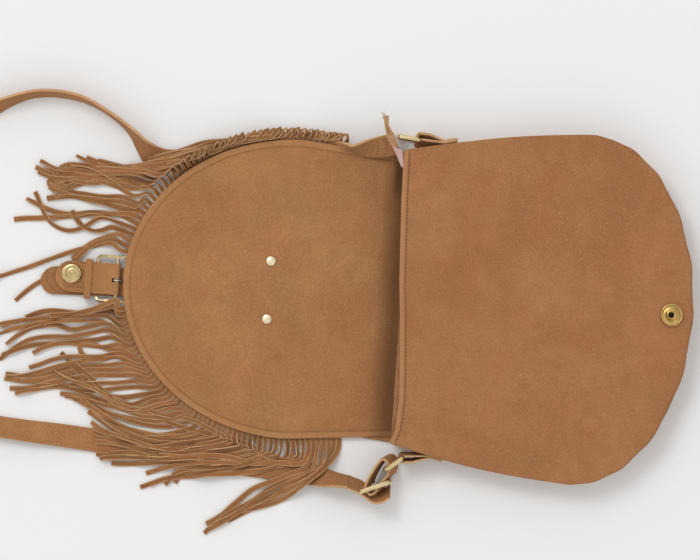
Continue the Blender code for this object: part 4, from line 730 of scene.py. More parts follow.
# Where strips run in the photograph, in its pixels from foot to tip. Their numbers count along the seam.
FAR_ROUTES = {
    0: [(336, 142), (318, 141), (296, 141), (268, 140), (240, 145), (222, 150)],
    5: [(300, 138), (280, 139), (255, 141), (228, 146), (200, 151), (184, 155)],
    10: [(264, 138), (240, 140), (210, 145), (180, 152), (155, 160)],
    14: [(238, 139), (220, 141), (200, 148), (180, 157), (150, 168), (120, 172)],
    17: [(212, 149), (195, 152), (175, 161), (150, 166), (120, 168), (100, 163), (79, 154)],
    20: [(195, 157), (180, 161), (150, 168), (120, 170), (95, 174), (70, 181), (45, 181)],
    23: [(170, 166), (150, 172), (120, 176), (90, 182), (60, 190), (56, 198)],
    25: [(158, 178), (140, 171), (110, 168), (80, 165), (60, 170), (41, 161)],
    27: [(145, 187), (120, 183), (95, 187), (70, 181), (50, 176), (34, 168)],
    28: [(130, 188), (108, 175), (89, 166), (64, 165), (55, 174), (69, 188)],
    30: [(140, 207), (125, 200), (106, 201), (92, 201), (79, 205), (61, 199), (41, 186)],
    31: [(128, 207), (100, 196), (80, 191), (58, 192)],
    32: [(128, 214), (89, 215), (46, 219), (13, 220)],
    33: [(120, 215), (89, 209), (71, 210), (51, 205), (29, 194)],
    34: [(117, 226), (105, 220), (92, 225), (79, 235), (64, 233), (48, 222), (43, 211), (37, 191)],
    35: [(125, 232), (113, 226), (98, 230)],
    36: [(112, 238), (95, 243), (82, 256), (62, 272), (42, 287), (22, 306)],
    37: [(110, 243), (89, 247), (60, 257), (38, 265), (0, 274), (-14, 277)],
}
NEAR_ROUTES = {
    0: [(118, 300), (108, 303), (96, 308), (78, 312), (50, 314)],
    2: [(111, 315), (64, 315), (19, 318), (0, 324), (-12, 328)],
    3: [(100, 319), (66, 322), (38, 325), (13, 328), (0, 331), (-12, 334)],
    4: [(110, 326), (90, 329), (71, 330), (57, 324), (38, 327), (23, 334), (10, 347)],
    5: [(110, 334), (89, 337), (57, 339), (25, 346), (0, 359), (-8, 364)],
    6: [(119, 343), (100, 345), (80, 341), (60, 341), (40, 345), (20, 352)],
    7: [(121, 350), (108, 350), (92, 345), (78, 346), (88, 358)],
    8: [(115, 354), (89, 359), (64, 363), (32, 370), (8, 371)],
    10: [(130, 368), (105, 368), (80, 372), (55, 376), (30, 381), (4, 378)],
    12: [(140, 384), (115, 386), (90, 386), (65, 388), (45, 392), (18, 398)],
    13: [(140, 394), (115, 396), (97, 392), (83, 380), (68, 362)],
    14: [(150, 398), (128, 406), (97, 389), (83, 371), (61, 351)],
    15: [(155, 402), (128, 410), (105, 398), (89, 389), (55, 373)],
    17: [(170, 408), (150, 413), (133, 410), (110, 403), (88, 397), (60, 393)],
    21: [(203, 430), (185, 437), (160, 438), (130, 430), (105, 415), (85, 402)],
    24: [(222, 440), (200, 446), (175, 448), (150, 449), (130, 440), (93, 419)],
    27: [(245, 447), (225, 452), (195, 455), (150, 453), (96, 453)],
    30: [(262, 452), (240, 460), (210, 462), (160, 463), (104, 462)],
    32: [(272, 455), (245, 463), (203, 466), (183, 476), (181, 485), (192, 483)],
    33: [(280, 458), (250, 468), (210, 468), (185, 471), (137, 486)],
    34: [(288, 462), (255, 472), (215, 475), (178, 480), (149, 489)],
    35: [(298, 456), (280, 456), (262, 446), (247, 436), (210, 421), (172, 404)],
    36: [(300, 462), (264, 457), (247, 455), (221, 440), (194, 430), (160, 423), (133, 414)],
    37: [(305, 466), (282, 478), (256, 489), (225, 512), (206, 521)],
    38: [(312, 468), (290, 478), (262, 494), (230, 515), (203, 533)],
    39: [(322, 466), (300, 480), (270, 495), (235, 514), (207, 528)],
    41: [(335, 455), (325, 468), (300, 486), (268, 503), (240, 514)],
}
# The far strips between these two numbers lie under the closure. These near ones are laid last, in
# this order, over the others.
FAR_UNDER = (34, 36.5)
NEAR_LAST = (13, 15, 14, 35, 36, 37, 38, 39)


def from_photo(px, py):
    """A pixel of the 700 by 560 photograph as a place on the floor."""
    right = PHOTO_SCALE * (px - PHOTO_MIDDLE[0])
    up = PHOTO_SCALE * (PHOTO_MIDDLE[1] - py)
    turn_x = right * math.cos(VIEW_TURN) - up * math.sin(VIEW_TURN)
    return turn_x, right * math.sin(VIEW_TURN) + up * math.cos(VIEW_TURN)


def evenly(points, count):
    table = np.array(points, float)
    lengths = lengths_along(table)
    return at_lengths(table, lengths, np.linspace(0.0, lengths[-1], count))


def route_number(index, count, routes):
    """Which of the photograph's strips this one is, or between which two it lies."""
    return index * max(routes) / (count - 1)


def route_of(number, routes):
    """The strip's own route, or one between its neighbours'."""
    if number in routes:
        return evenly([from_photo(*p) for p in routes[number]], 7)
    below = max(k for k in routes if k < number)
    above = min(k for k in routes if k > number)
    share = (number - below) / (above - below)
    low = evenly([from_photo(*p) for p in routes[below]], 7)
    high = evenly([from_photo(*p) for p in routes[above]], 7)
    return (1 - share) * low + share * high


def edge_line(side):
    """Points along the flap's edge from the fold to the tip."""
    points = [flap_plan(along, side) for along in np.linspace(0.0, 1.0, 20)]
    points += [flap_plan(1.0, side * (1 - share)) for share in np.linspace(0.01, 1.0, 160)]
    table = np.array(points)
    return table, lengths_along(table)


def on_edge(line, distance):
    """The point at this distance along the edge, and the way out from it."""
    before, spot, after = at_lengths(*line, distance + np.array([-1.5, 0.0, 1.5]))
    heading = (after - before) / np.linalg.norm(after - before)
    outward = np.array([-heading[1], heading[0]])
    return spot, outward if outward @ (spot - FLAP_INSIDE) > 0 else -outward


def keep_off_flap(point, margin):
    """The point, moved out to this far from the flap's edge if it lies nearer or inside."""
    x, y = point
    if x > FLAP_WIDEST:
        return np.array([x, math.copysign(max(abs(y), FLAP_HALF + margin), y)]) if abs(y) > 60 else point
    reach = math.hypot((x - FLAP_WIDEST) / (FLAP_REACH + margin), y / (FLAP_HALF + margin))
    return point if reach >= 1 else np.array([FLAP_WIDEST + (x - FLAP_WIDEST) / reach, y / reach])


firm_top = np.zeros(PILE_SIZE)
strip_depth = np.zeros(PILE_SIZE)


def cells_of(points):
    """The cells of the two height maps that hold these points."""
    index = np.floor((points - PILE_LOW) / CELL).astype(int)
    return np.clip(index[:, 0], 0, PILE_SIZE[0] - 1), np.clip(index[:, 1], 0, PILE_SIZE[1] - 1)


def footprint(middle, side, half_width):
    """Points across a strip at one place along it."""
    return middle[None, :] + np.arange(-half_width, half_width + 0.01, 0.5)[:, None] * side[None, :]


def bury(names, margin):
    """Notes how high these pieces stand, so that the strips laid next go over them."""
    tree = solid_tree(*names)
    low = np.min([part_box(name)[0] for name in names], axis=0) / MM
    high = np.max([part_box(name)[1] for name in names], axis=0) / MM
    for x in np.arange(low[0] - margin, high[0] + margin, CELL):
        for y in np.arange(low[1] - margin, high[1] + margin, CELL):
            top = top_at(tree, x, y)
            if top:
                around = np.array([(x + i * CELL, y + j * CELL) for i in (-2, 0, 2) for j in (-2, 0, 2)])
                cell = cells_of(around)
                firm_top[cell] = np.maximum(firm_top[cell], top)


def eased(heights, spacing):
    """The heights raised where needed so that no stretch is steeper than suede would lie."""
    out = heights.copy()
    for i in range(1, len(out)):
        out[i] = max(out[i], out[i - 1] - STEEPEST * spacing)
    for i in range(len(out) - 2, -1, -1):
        out[i] = max(out[i], out[i + 1] - STEEPEST * spacing)
    return np.convolve(np.pad(out, 1, mode="edge"), [0.25, 0.5, 0.25], mode="valid")


def wandering(table, lengths, phase, lively):
    """The line with slow bends of its own, wider the further it is from the seam."""
    heading = np.gradient(table, axis=0)
    heading /= np.maximum(np.linalg.norm(heading, axis=1, keepdims=True), 1e-6)
    sides = np.stack([-heading[:, 1], heading[:, 0]], axis=1)
    swing = np.array([noise.noise(Vector((at / 45.0, phase, 7.0))) for at in lengths])
    swing *= WANDER * (0.4 + lively) * np.clip((lengths - 8.0) / 40.0, 0.0, 1.0)
    return table + sides * swing[:, None]


def hoop_share(number, side):
    """How far this strip's foot stands up in a hoop. They do so far from the closure."""
    if side > 0:
        return 1 - smooth_step(27.0, 32.0, number)
    return 0.12 + 0.88 * smooth_step(23.0, 28.0, number) * (1 - smooth_step(36.0, 38.0, number))


def lay_strip(root, outward, root_height, route, side, hooped, rng):
    """The strip's middle line and its widthwise directions, laid on what lies there already."""
    phase = rng.uniform(0, 50)
    lively = rng.uniform(0.2, 1.0)
    start = root + outward * BAND_OVERHANG
    knots = [start, start + outward * (5.0 + 4.0 * hooped)]
    knots += [keep_off_flap(p, STRIP_WIDTH / 2 + 1.6) for p in route]
    table = smooth_line([(p[0], p[1], 0.0) for p in knots], STATION)[:, :2]
    lengths = lengths_along(table)
    table = wandering(table, lengths, phase, lively)
    off = [keep_off_flap(p, STRIP_WIDTH / 2 + 1.2) if at > 6 else p for p, at in zip(table, lengths)]
    table = np.array(off)
    heading = np.gradient(table, axis=0)
    heading /= np.maximum(np.linalg.norm(heading, axis=1, keepdims=True), 1e-6)
    sides = np.stack([-heading[:, 1], heading[:, 0]], axis=1)
    half = STRIP_WIDTH / 2
    firm = np.array([firm_top[cells_of(footprint(p, s, half + 0.4))].max() for p, s in zip(table, sides)])
    firm = np.maximum(np.maximum(firm, np.roll(firm, 1)), np.roll(firm, -1))
    deep = np.array([strip_depth[cells_of(footprint(p, s, half - 0.5))].max() for p, s in zip(table, sides)])
    deep = np.convolve(np.pad(deep, 1, mode="edge"), [0.25, 0.5, 0.25], mode="valid")
    hoop = hooped * np.exp(-(((lengths - HOOP_PLACE) / HOOP_REACH) ** 2)) * np.minimum(lengths / 3.0, 1.0)
    rolls = np.array([noise.noise(Vector((at / 24.0, phase, 0.0))) for at in lengths])
    rolls *= ROLL * lively * np.minimum(lengths / 14.0, 1.0)
    rolls += side * (HOOP_LEAN[0] + HOOP_LEAN[1] * lively) * hoop
    rolls = np.clip(rolls, -STEEPEST_ROLL, STEEPEST_ROLL)
    stand = np.abs(np.sin(rolls)) * half * 0.8
    base = firm + np.minimum(deep, PILE_LIMIT) + STRIP_CLEARANCE + STRIP_THICKNESS / 2
    lift = np.array([max(noise.noise(Vector((at / 40.0, phase + 9.0, 4.0))), 0.0) for at in lengths])
    heights = eased(base + stand + lift * LIFT * lively, STATION)
    heights += (HOOP_RISE[0] + HOOP_RISE[1] * lively) * hoop
    blend_in = np.clip(lengths / 6.0, 0.0, 1.0)
    heights = root_height * (1 - blend_in) + heights * blend_in
    for p, s, depth in zip(table[3:], sides[3:], deep[3:]):
        cell = cells_of(footprint(p, s, half))
        strip_depth[cell] = np.maximum(strip_depth[cell], depth + LAYER_RISE)
    line = []
    for p, s, z, roll in zip(table, sides, heights, rolls):
        across = Vector((s[0], s[1], 0.0)) * math.cos(roll) + Vector((0, 0, math.sin(roll)))
        line.append((Vector((p[0], p[1], z)), across))
    return line


def strip_finish(name, tone, light, dark):
    """Suede whose strips differ a little in tone, by the number that each one carries, and are paler
    along both their cut edges."""
    material = suede(name, tone, light, dark, 45.0, 0.7)
    tree = material.node_tree
    shader = tree.nodes["Principled BSDF"]
    colour = shader.inputs["Base Color"].links[0].from_socket
    own = tree.nodes.new("ShaderNodeAttribute")
    own.attribute_name = "tone"
    colour = mix_node(tree, own.outputs["Fac"], colour, dark)
    across = tree.nodes.new("ShaderNodeAttribute")
    across.attribute_name = "across"
    pale = scaled(tree, spread(tree, across.outputs["Fac"], 0.66, 0.92), 0.7)
    tree.links.new(mix_node(tree, pale, colour, CUT_EDGE), shader.inputs["Base Color"])
    return material


STRIP_TONE = toward(TAN, TAN_DARK, 0.3)
STRIP_DARK = toward(TAN_DARK, (0, 0, 0), 0.25)
strip_suede = strip_finish("strip_suede", STRIP_TONE, TAN, STRIP_DARK)


def baked(piece):
    """The piece with its modifiers made part of its mesh, its folds and cut edges crisp."""
    graph = bpy.context.evaluated_depsgraph_get()
    mesh = bpy.data.meshes.new_from_object(piece.evaluated_get(graph))
    piece.modifiers.clear()
    piece.data = mesh
    mesh.shade_smooth()
    mesh.set_sharp_from_angle(angle=math.radians(45))
    return piece


def fringe(name, side, count, routes, start, order, from_tip, seed):
    """The sewn band and its strips, as one piece of suede."""
    line = edge_line(side)
    at_closure = (at for (x, y), at in zip(*line) if abs(y - CLOSURE_Y) < CLOSURE_NOTCH and x < FLAP_WIDEST)
    end = next(at_closure)
    pitch = (end - start - STRIP_WIDTH) / (count - 1)
    rng = random.Random(seed)
    bm = bmesh.new()
    tone = bm.verts.layers.float.new("tone")
    from_middle = bm.verts.layers.float.new("across")
    for index in order:
        place = count - 1 - index if from_tip else index
        distance = start + STRIP_WIDTH / 2 + place * pitch
        root, outward = on_edge(line, distance)
        height = flap_under(root[0], root[1]) - BAND_DROP - STRIP_THICKNESS / 2
        number = route_number(index, count, routes)
        route = route_of(number, routes)
        laid = lay_strip(root, outward, height, route, side, hoop_share(number, side), rng)
        inner = Vector((*(root - outward * BAND_WIDTH), height))
        first_across = laid[0][1]
        laid = [(inner, first_across), (inner.lerp(laid[0][0], 0.6), first_across), *laid]
        made = bmesh.ops.create_grid(bm, x_segments=len(laid) - 1, y_segments=4, size=0.5)["verts"]
        width = STRIP_WIDTH * rng.uniform(NARROWEST, 1.0)
        shade = rng.uniform(0.0, DARKEST) ** 1.4
        curl = rng.choice((-1, 1)) * CURL
        for vert in made:
            spot = round((vert.co.x + 0.5) * (len(laid) - 1))
            middle, across = laid[spot]
            heading = laid[min(spot + 1, len(laid) - 1)][0] - laid[max(spot - 1, 0)][0]
            out_of_face = across.cross(heading).normalized()
            share = 2 * vert.co.y
            bow = curl * (1 - share * share) * min(spot / 6, 1.0)
            vert.co = (middle + across * share * width / 2 + out_of_face * bow) * MM
            vert[tone] = shade
            vert[from_middle] = abs(share)
    piece = piece_of(name, bm, [strip_suede, raw_edge])
    thickened(piece, STRIP_THICKNESS, even=False)
    return baked(piece)


bury(["shoulder_strap"], 2.0)
far_numbers = [route_number(k, FAR_STRIPS, FAR_ROUTES) for k in range(FAR_STRIPS)]
far_first = [k for k, number in enumerate(far_numbers) if FAR_UNDER[0] < number < FAR_UNDER[1]]
far_order = [k for k in range(FAR_STRIPS) if k not in far_first]
near_numbers = [round(route_number(k, NEAR_STRIPS, NEAR_ROUTES)) for k in range(NEAR_STRIPS)]
near_last = sorted(
    (k for k, number in enumerate(near_numbers) if number in NEAR_LAST),
    key=lambda k: NEAR_LAST.index(near_numbers[k]),
)
near_order = [k for k in range(NEAR_STRIPS) if k not in near_last] + near_last
far_under = fringe("fringe_under_closure", 1, FAR_STRIPS, FAR_ROUTES, FAR_START, far_first, False, 5)
bury(["closure_billet", "closure_chape", "closure_keeper", "closure_buckle", "snap_stud"], 2.0)
far_fringe = fringe("far_fringe", 1, FAR_STRIPS, FAR_ROUTES, FAR_START, far_order, False, 7)
near_fringe = fringe("near_fringe", -1, NEAR_STRIPS, NEAR_ROUTES, NEAR_START, near_order, True, 11)
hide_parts("fringe_far")
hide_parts("fringe_near")
for piece in (far_under, far_fringe, near_fringe):
    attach(piece, "flap")


# Front panel. Suede over a soft stiffener, crowned towards the mouth. Its mouth edge is turned in
# and sewn, and its rim rolls down to the gusset.
front_tree = solid_tree("front_panel")
FRONT_TOP = 27.0
FRONT_ROLL = 0.91
RIM_SHARPNESS = 14
FRONT_SLACK = ((0.8, 52.0, 1.0), (0.35, 21.0, 5.0))
FRONT_TINT = (0.93, 0.885, 0.90)
# The rim is drawn in between these places on it, from the far side to the near one, by its seam.
RIM_CORNERS = (1.0, 0.756, 0.589, 0.395, 0.194, 0.0, -0.214, -0.506, -0.7, -0.866, -1.0)
RIM_SAG = 0.006
HEM_WIDTH = 3.4
HEM_RISE = 0.7
HEM_SEAM = HEM_WIDTH + 1.4
HEM_LINE = HEM_WIDTH + 0.9
HEM_GROOVE_DEPTH = 0.5
HEM_GROOVE_WIDTH = 1.3
# How far the mouth's edge lies from the straight line, at places across it.
MOUTH_DRIFT = [
    (-121, 0.0), (-114, 0.2), (-106, 3.2), (-82, 4.8), (-50, 3.1), (-18, 0.9), (14, -1.8), (46, -3.2),
    (78, -4.6), (121, -5.4),
]
MOUTH_DRIFT_REACH = 60.0


def mouth_drift(x, y):
    """How far this place on the front is shifted along X, as the mouth's edge is."""
    places = [place for place, _ in MOUTH_DRIFT]
    drift = float(np.interp(y, places, [amount for _, amount in MOUTH_DRIFT]))
    return drift * (1 - smooth_step(0.0, MOUTH_DRIFT_REACH, x))


def rim_scale(u, across):
    """The share of its way out to which the rim reaches, at this place on it."""
    place = next(i for i in range(len(RIM_CORNERS) - 1) if across >= RIM_CORNERS[i + 1] - 1e-9)
    high, low = RIM_CORNERS[place], RIM_CORNERS[place + 1]
    bow = math.sin(math.pi * (across - low) / (high - low)) ** 2
    return 1 - RIM_SAG * bow * min((high - low) / 0.2, 1.3) * smooth_step(0.72, 1.0, u)


def front_surface(u, v):
    across = 2 * v - 1
    x, y = body_plan(u, across)
    x *= rim_scale(u, across)
    y *= rim_scale(u, across)
    inside_x, inside_y = body_plan(min(max(u, 0.004), 0.985), across * 0.985)
    top = top_at(front_tree, inside_x, inside_y, FRONT_TOP)
    rim = max(u**RIM_SHARPNESS, abs(across) ** RIM_SHARPNESS)
    slack = slack_at(x, y, FRONT_SLACK) * (1 - rim) * smooth_step(0.0, 0.08, u)
    hem = HEM_RISE * (1 - smooth_step(HEM_WIDTH - 1.0, HEM_WIDTH + 0.6, x))
    groove = HEM_GROOVE_DEPTH * math.exp(-(((x - HEM_SEAM) / HEM_GROOVE_WIDTH) ** 2))
    height = top - SKIN / 2 + 0.5 * slack - FRONT_ROLL * rim + hem - groove
    return x + mouth_drift(x, y), y, height


def denser_at_mouth(u, v):
    """The front's surface, with its rows closer together at the mouth's hem."""
    return front_surface(u**1.6, v)


def inside_mouth(x, y):
    """How far a place lies inside the mouth's edge."""
    return x - mouth_drift(x, y)


front_suede = suede("hemmed_suede", *(tinted(colour, FRONT_TINT) for colour in (TAN, TAN_LIGHT, TAN_DARK)))
front = leather_sheet("front_suede", 130, 96, denser_at_mouth, SKIN, [front_suede, raw_edge])
# Painted shade along the hem's seam groove and a painted highlight on its rolled rim.
seamed(front, front_suede, inside_mouth, HEM_LINE, 0.45)
relaxed(front, 1)
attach(front, "bag")
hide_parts("front_panel")

# Mouth stitches. A row of dark thread holds the turned-in hem of the front. It runs just inside the
# mouth's edge and bends as that does.
DARK_THREAD = (0.10, 0.045, 0.02)
MOUTH_STITCH = {"pitch": 2.8, "length": 2.0, "width": 0.8}

front_solid = solid_tree("front_suede")
dark_thread = thread_material("dark_thread", DARK_THREAD)
hem_line = [
    (HEM_SEAM + mouth_drift(HEM_SEAM, y), y) for y in np.linspace(MOUTH_HALF - 2.0, 2.0 - MOUTH_HALF, 40)
]
row_of_stitches("mouth_stitches", hem_line, front_solid, "bag", dark_thread, **MOUTH_STITCH)


# Gusset and the facing inside the mouth. They are a browner, darker suede than the panels, and are
# sewn to them round the sides and along the mouth.
GUSSET_TONE = (0.33, 0.155, 0.075)
GUSSET_LIGHT = (0.42, 0.21, 0.11)
GUSSET_DARK = (0.2, 0.085, 0.04)

gusset_suede = suede("gusset_suede", GUSSET_TONE, GUSSET_LIGHT, GUSSET_DARK)
for name in ("gusset", "front_facing"):
    bpy.data.objects[name].material_slots[0].material = gusset_suede


# Leathers at the rings and the closure. Each is suede folded over a bar, sewn to itself, with pale
# cut edges. They are fuller and softer than flat strip, and those at the rings lean a little.
def fuller(
    node, name, body, swell, lean=(0.0, 0.0), soft=0.35, edges_face=None, material=tan_suede
):
    """A softer, thicker copy of a node. The faces that look along edges_face are its cut edges, in the
    pale colour of raw suede. It leans by these amounts along X and Y for its height over the rings."""
    bm = bmesh.new()
    bm.from_mesh(bpy.data.objects[node].data)
    bmesh.ops.remove_doubles(bm, verts=bm.verts, dist=0.01 * MM)
    bmesh.ops.dissolve_limit(bm, angle_limit=math.radians(2), verts=bm.verts, edges=bm.edges)
    bm.normal_update()
    for face in bm.faces:
        face.material_index = 1 if edges_face and abs(face.normal.dot(Vector(edges_face))) > 0.8 else 0
    for vert in bm.verts:
        vert.co += vert.normal * swell * MM
    for vert in bm.verts:
        up = vert.co.z - RING_MIDDLE * MM
        vert.co.x += lean[0] * up
        vert.co.y += lean[1] * up
    piece = piece_of(name, bm, [material, raw_edge])
    if soft:
        worn_edges(piece, soft, 50)
    else:
        piece.data.shade_smooth()
    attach(piece, body)
    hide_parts(node)
    return piece


UPRIGHT = (0, 0, 1)
ALONG = (1, 0, 0)
KEEPER_NARROWER = 0.66
KEEPER_SHIFT = 2.4
BILLET_TONE = toward(TAN, TAN_DARK, 0.35)

fuller("far_ring_tab", "far_tab_leather", "bag", 0.75, (0.05, 0.34), 0.5, UPRIGHT)
fuller("near_ring_tab", "near_tab_leather", "bag", 0.25, (0.0, -0.14), 0.3, UPRIGHT)
fuller("strap_chape", "strap_chape_leather", "near_ring", 0.55, (-0.34, -0.20), 0.4, UPRIGHT)
fuller("strap_tail", "strap_tail_leather", "near_ring", 0.40, (0.0, -0.52), 0.4, UPRIGHT)
keeper = fuller("closure_keeper", "keeper_leather", "flap", 0.0, (0.0, 0.0), 0.3, ALONG)
keeper_middle = sum(vert.co.x for vert in keeper.data.vertices) / len(keeper.data.vertices)
for vert in keeper.data.vertices:
    vert.co.x = keeper_middle + (vert.co.x - keeper_middle) * KEEPER_NARROWER + KEEPER_SHIFT * MM
billet_suede = suede("billet_suede", BILLET_TONE, TAN, TAN_DARK)
bpy.data.objects["closure_billet"].material_slots[0].material = billet_suede
bpy.data.objects["closure_chape"].material_slots[0].material = tan_suede


# Closure stitches, of dark thread. Those of the chape are a rectangle round the stud, and the billet
# has one row inside its rounded end. Both are given by their pixels in the photograph.
CHAPE_CORNERS = [(62, 262), (91, 263), (88, 288), (65, 286), (62, 262)]
CHAPE_STITCH = {"pitch": 2.8, "length": 2.0, "width": 0.85}
BILLET_ROW = [
    (66, 257.5), (57, 258.5), (50, 263), (46.5, 272), (47.5, 282), (54, 290), (64, 294), (88, 294.5),
]
BILLET_STITCH = {"pitch": 1.9, "length": 1.9, "width": 0.7}

chape_row = [from_photo(*corner) for corner in CHAPE_CORNERS]
chape_tree = solid_tree("closure_chape")
row_of_stitches("chape_stitches", chape_row, chape_tree, "flap", dark_thread, **CHAPE_STITCH)
billet_row = [from_photo(*spot) for spot in BILLET_ROW]
billet_tree = solid_tree("closure_billet")
row_of_stitches("billet_stitches", billet_row, billet_tree, "flap", dark_thread, **BILLET_STITCH)


# Far end of the strap. It widens from its edge to its full width as it comes to the ring, where it
# is folded over and sewn with two curved rows.
# Its middle line by its pixels in the photograph, with the tilt of its face in degrees.
END_ROUTE = [
    (352, 149.3, 76), (360, 149.5, 60), (370, 148.5, 42), (381, 147, 26), (391, 145, 18), (397, 143, 14),
]
END_THICKNESS = 2.2
END_RISE = 0.6
# Its rows of stitches start at these pixels across, and run down between these two, with this bow.
END_ROWS = (376, 384)
END_ROW_TOP = 139
END_ROW_FALL = 17
END_ROW_BOW = 2.5
END_STITCH = {"pitch": 2.3, "length": 1.8, "width": 0.8}
end_knots = [(*from_photo(px, py), tilt) for px, py, tilt in END_ROUTE]
end_line = along_line(smooth_line(end_knots, 2.0))


def end_surface(u, v):
    x, y, tilt = end_line(u)
    ahead = end_line(min(u + 0.02, 1.0))
    behind = end_line(max(u - 0.02, 0.0))
    heading = Vector((ahead[0] - behind[0], ahead[1] - behind[1], 0.0)).normalized()
    turn = math.radians(tilt)
    side = Vector((-heading.y, heading.x, 0.0)) * math.cos(turn) + Vector((0, 0, math.sin(turn)))
    middle = Vector((x, y, RING_MIDDLE + END_RISE * math.sin(math.pi * u)))
    return middle + side * STRAP_WIDTH * (v - 0.5)


strap_end = leather_sheet("strap_end_leather", 40, 8, end_surface, END_THICKNESS, [tan_suede, raw_edge], 0.5)
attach(strap_end, "far_ring")
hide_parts("strap_end_loop")
end_tree = solid_tree("strap_end_leather")
for row, px in enumerate(END_ROWS):
    across_row = [
        from_photo(px + END_ROW_BOW * math.sin(math.pi * share), END_ROW_TOP + END_ROW_FALL * share)
        for share in np.linspace(0.0, 1.0, 12)
    ]
    row_of_stitches(f"strap_end_stitches_{row}", across_row, end_tree, "far_ring", dark_thread, **END_STITCH)


# Frayed end of the mouth's facing. Its tape has come out of the seam at the far corner: two twined
# strands of raw suede that end in loose fibres.
# Its line by its pixels in the photograph, with its height.
FRAYED_ROUTE = [
    (403, 163, 25.6), (399, 156, 26.6), (394.5, 147, 27.8), (391, 139, 28.5), (387.5, 128, 28.5),
    (385, 117, 27.0),
]
STRAND_TONE = (0.44, 0.25, 0.125)
STRAND_LIGHT = (0.60, 0.40, 0.23)
STRAND_DARK = (0.26, 0.12, 0.05)
STRAND_WIDTH = 4.2
STRAND_THICKNESS = 1.1
STRAND_PHASES = (0.3, 3.4)
TWINE_TURN = 5.0
TWINE_ASIDE = 1.25
TWINE_RISE = 0.9
FIBRES = 34
FIBRE_RADIUS = 0.11
frayed_knots = [(*from_photo(px, py), z) for px, py, z in FRAYED_ROUTE]
frayed_line = along_line(smooth_line(frayed_knots, 2.0))
strand_suede = suede("strand_suede", STRAND_TONE, STRAND_LIGHT, STRAND_DARK, 120.0, 1.6)


def strand_surface(phase):
    """The surface of a strand that winds about the line, from this angle on."""

    def surface(u, v):
        x, y, z = frayed_line(u)
        twine = phase + TWINE_TURN * u
        aside = TWINE_ASIDE * math.cos(twine)
        roll = 0.9 * math.sin(twine + 0.6)
        width = STRAND_WIDTH * (0.75 + 0.25 * math.sin(9.0 * u + phase))
        side = Vector((math.cos(roll), 0.4 * math.cos(roll), math.sin(roll)))
        middle = Vector((x + aside, y + 0.4 * aside, z + TWINE_RISE * math.sin(twine)))
        return middle + side * width * (v - 0.5)

    return surface


for number, phase in enumerate(STRAND_PHASES):
    name = f"frayed_strand_{number}"
    looks = [strand_suede, raw_edge]
    strand = leather_sheet(name, 60, 2, strand_surface(phase), STRAND_THICKNESS, looks, 0.2)
    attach(strand, "bag")
    if number == 0:
        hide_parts("facing_end")

rng = random.Random(3)
fibre_curve = bpy.data.curves.new("fibres", "CURVE")
fibre_curve.dimensions = "3D"
fibre_curve.bevel_depth = FIBRE_RADIUS * MM
fibre_curve.bevel_resolution = 1
fibre_curve.use_fill_caps = True
for _ in range(FIBRES):
    foot = Vector(frayed_line(rng.uniform(0.86, 1.0)))
    foot += Vector((rng.uniform(-2.0, 2.0), rng.uniform(-1.0, 1.5), 0.4))
    way = Vector((rng.uniform(-0.9, 0.6), rng.uniform(0.2, 1.0), rng.uniform(-0.2, 0.5)))
    bend = Vector((rng.uniform(-1.2, 1.2), rng.uniform(-0.8, 0.8), rng.uniform(-0.6, 0.6)))
    spline = fibre_curve.splines.new("POLY")
    spline.points.add(4)
    reach = rng.uniform(1.5, 5.0)
    for step, point in enumerate(spline.points):
        share = step / 4
        point.co = (*((foot + way * reach * share + bend * share * share) * MM), 1.0)
fibre_object = bpy.data.objects.new("fibres", fibre_curve)
bpy.context.scene.collection.objects.link(fibre_object)
fibre_mesh = bmesh.new()
fibre_mesh.from_mesh(fibre_object.evaluated_get(bpy.context.evaluated_depsgraph_get()).to_mesh())
bpy.data.objects.remove(fibre_object)
bmesh.ops.remove_doubles(fibre_mesh, verts=fibre_mesh.verts, dist=0.001 * MM)
fibres = piece_of("loose_fibres", fibre_mesh, [raw_edge])
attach(fibres, "bag")


# Mauve cloth. A corner of the lining's woven cloth shows behind the frayed end, where the seam that
# took it in is open. Its corners are pixels in the photograph.
MAUVE = (0.40, 0.26, 0.235)
CLOTH_CORNERS = [(392.5, 147), (402.5, 151), (403, 168)]
CLOTH_HEIGHT = 30.4
CLOTH_THICKNESS = 0.5


def cloth_surface(u, v):
    top = Vector(from_photo(*CLOTH_CORNERS[0])).lerp(Vector(from_photo(*CLOTH_CORNERS[1])), v)
    foot = Vector(from_photo(*CLOTH_CORNERS[2])) + Vector((-1.5 + 1.5 * v, 0.0))
    spot = top.lerp(foot, u)
    return spot.x, spot.y, CLOTH_HEIGHT + 0.5 * math.sin(5.0 * u + 3.0 * v)


mauve_cloth = thread_material("mauve_cloth", MAUVE)
cloth = leather_sheet("mauve_tape", 10, 5, cloth_surface, CLOTH_THICKNESS, [mauve_cloth])
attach(cloth, "bag")


# Rings, buckles and prongs. The rings and the strap's buckle are bent from round wire and plated pale
# gold, lightly tarnished, as is the closure's buckle. The prongs and the snap's washers are steel.
GOLD = (0.80, 0.64, 0.36)
SILVER = (0.74, 0.73, 0.70)
# Each wire's node, its body and how much fuller it is than the CAD's.
WIRES = [
    ("far_ring", "far_ring", 0.45), ("near_ring", "near_ring", 0.45), ("strap_buckle", "near_ring", 0.5),
]


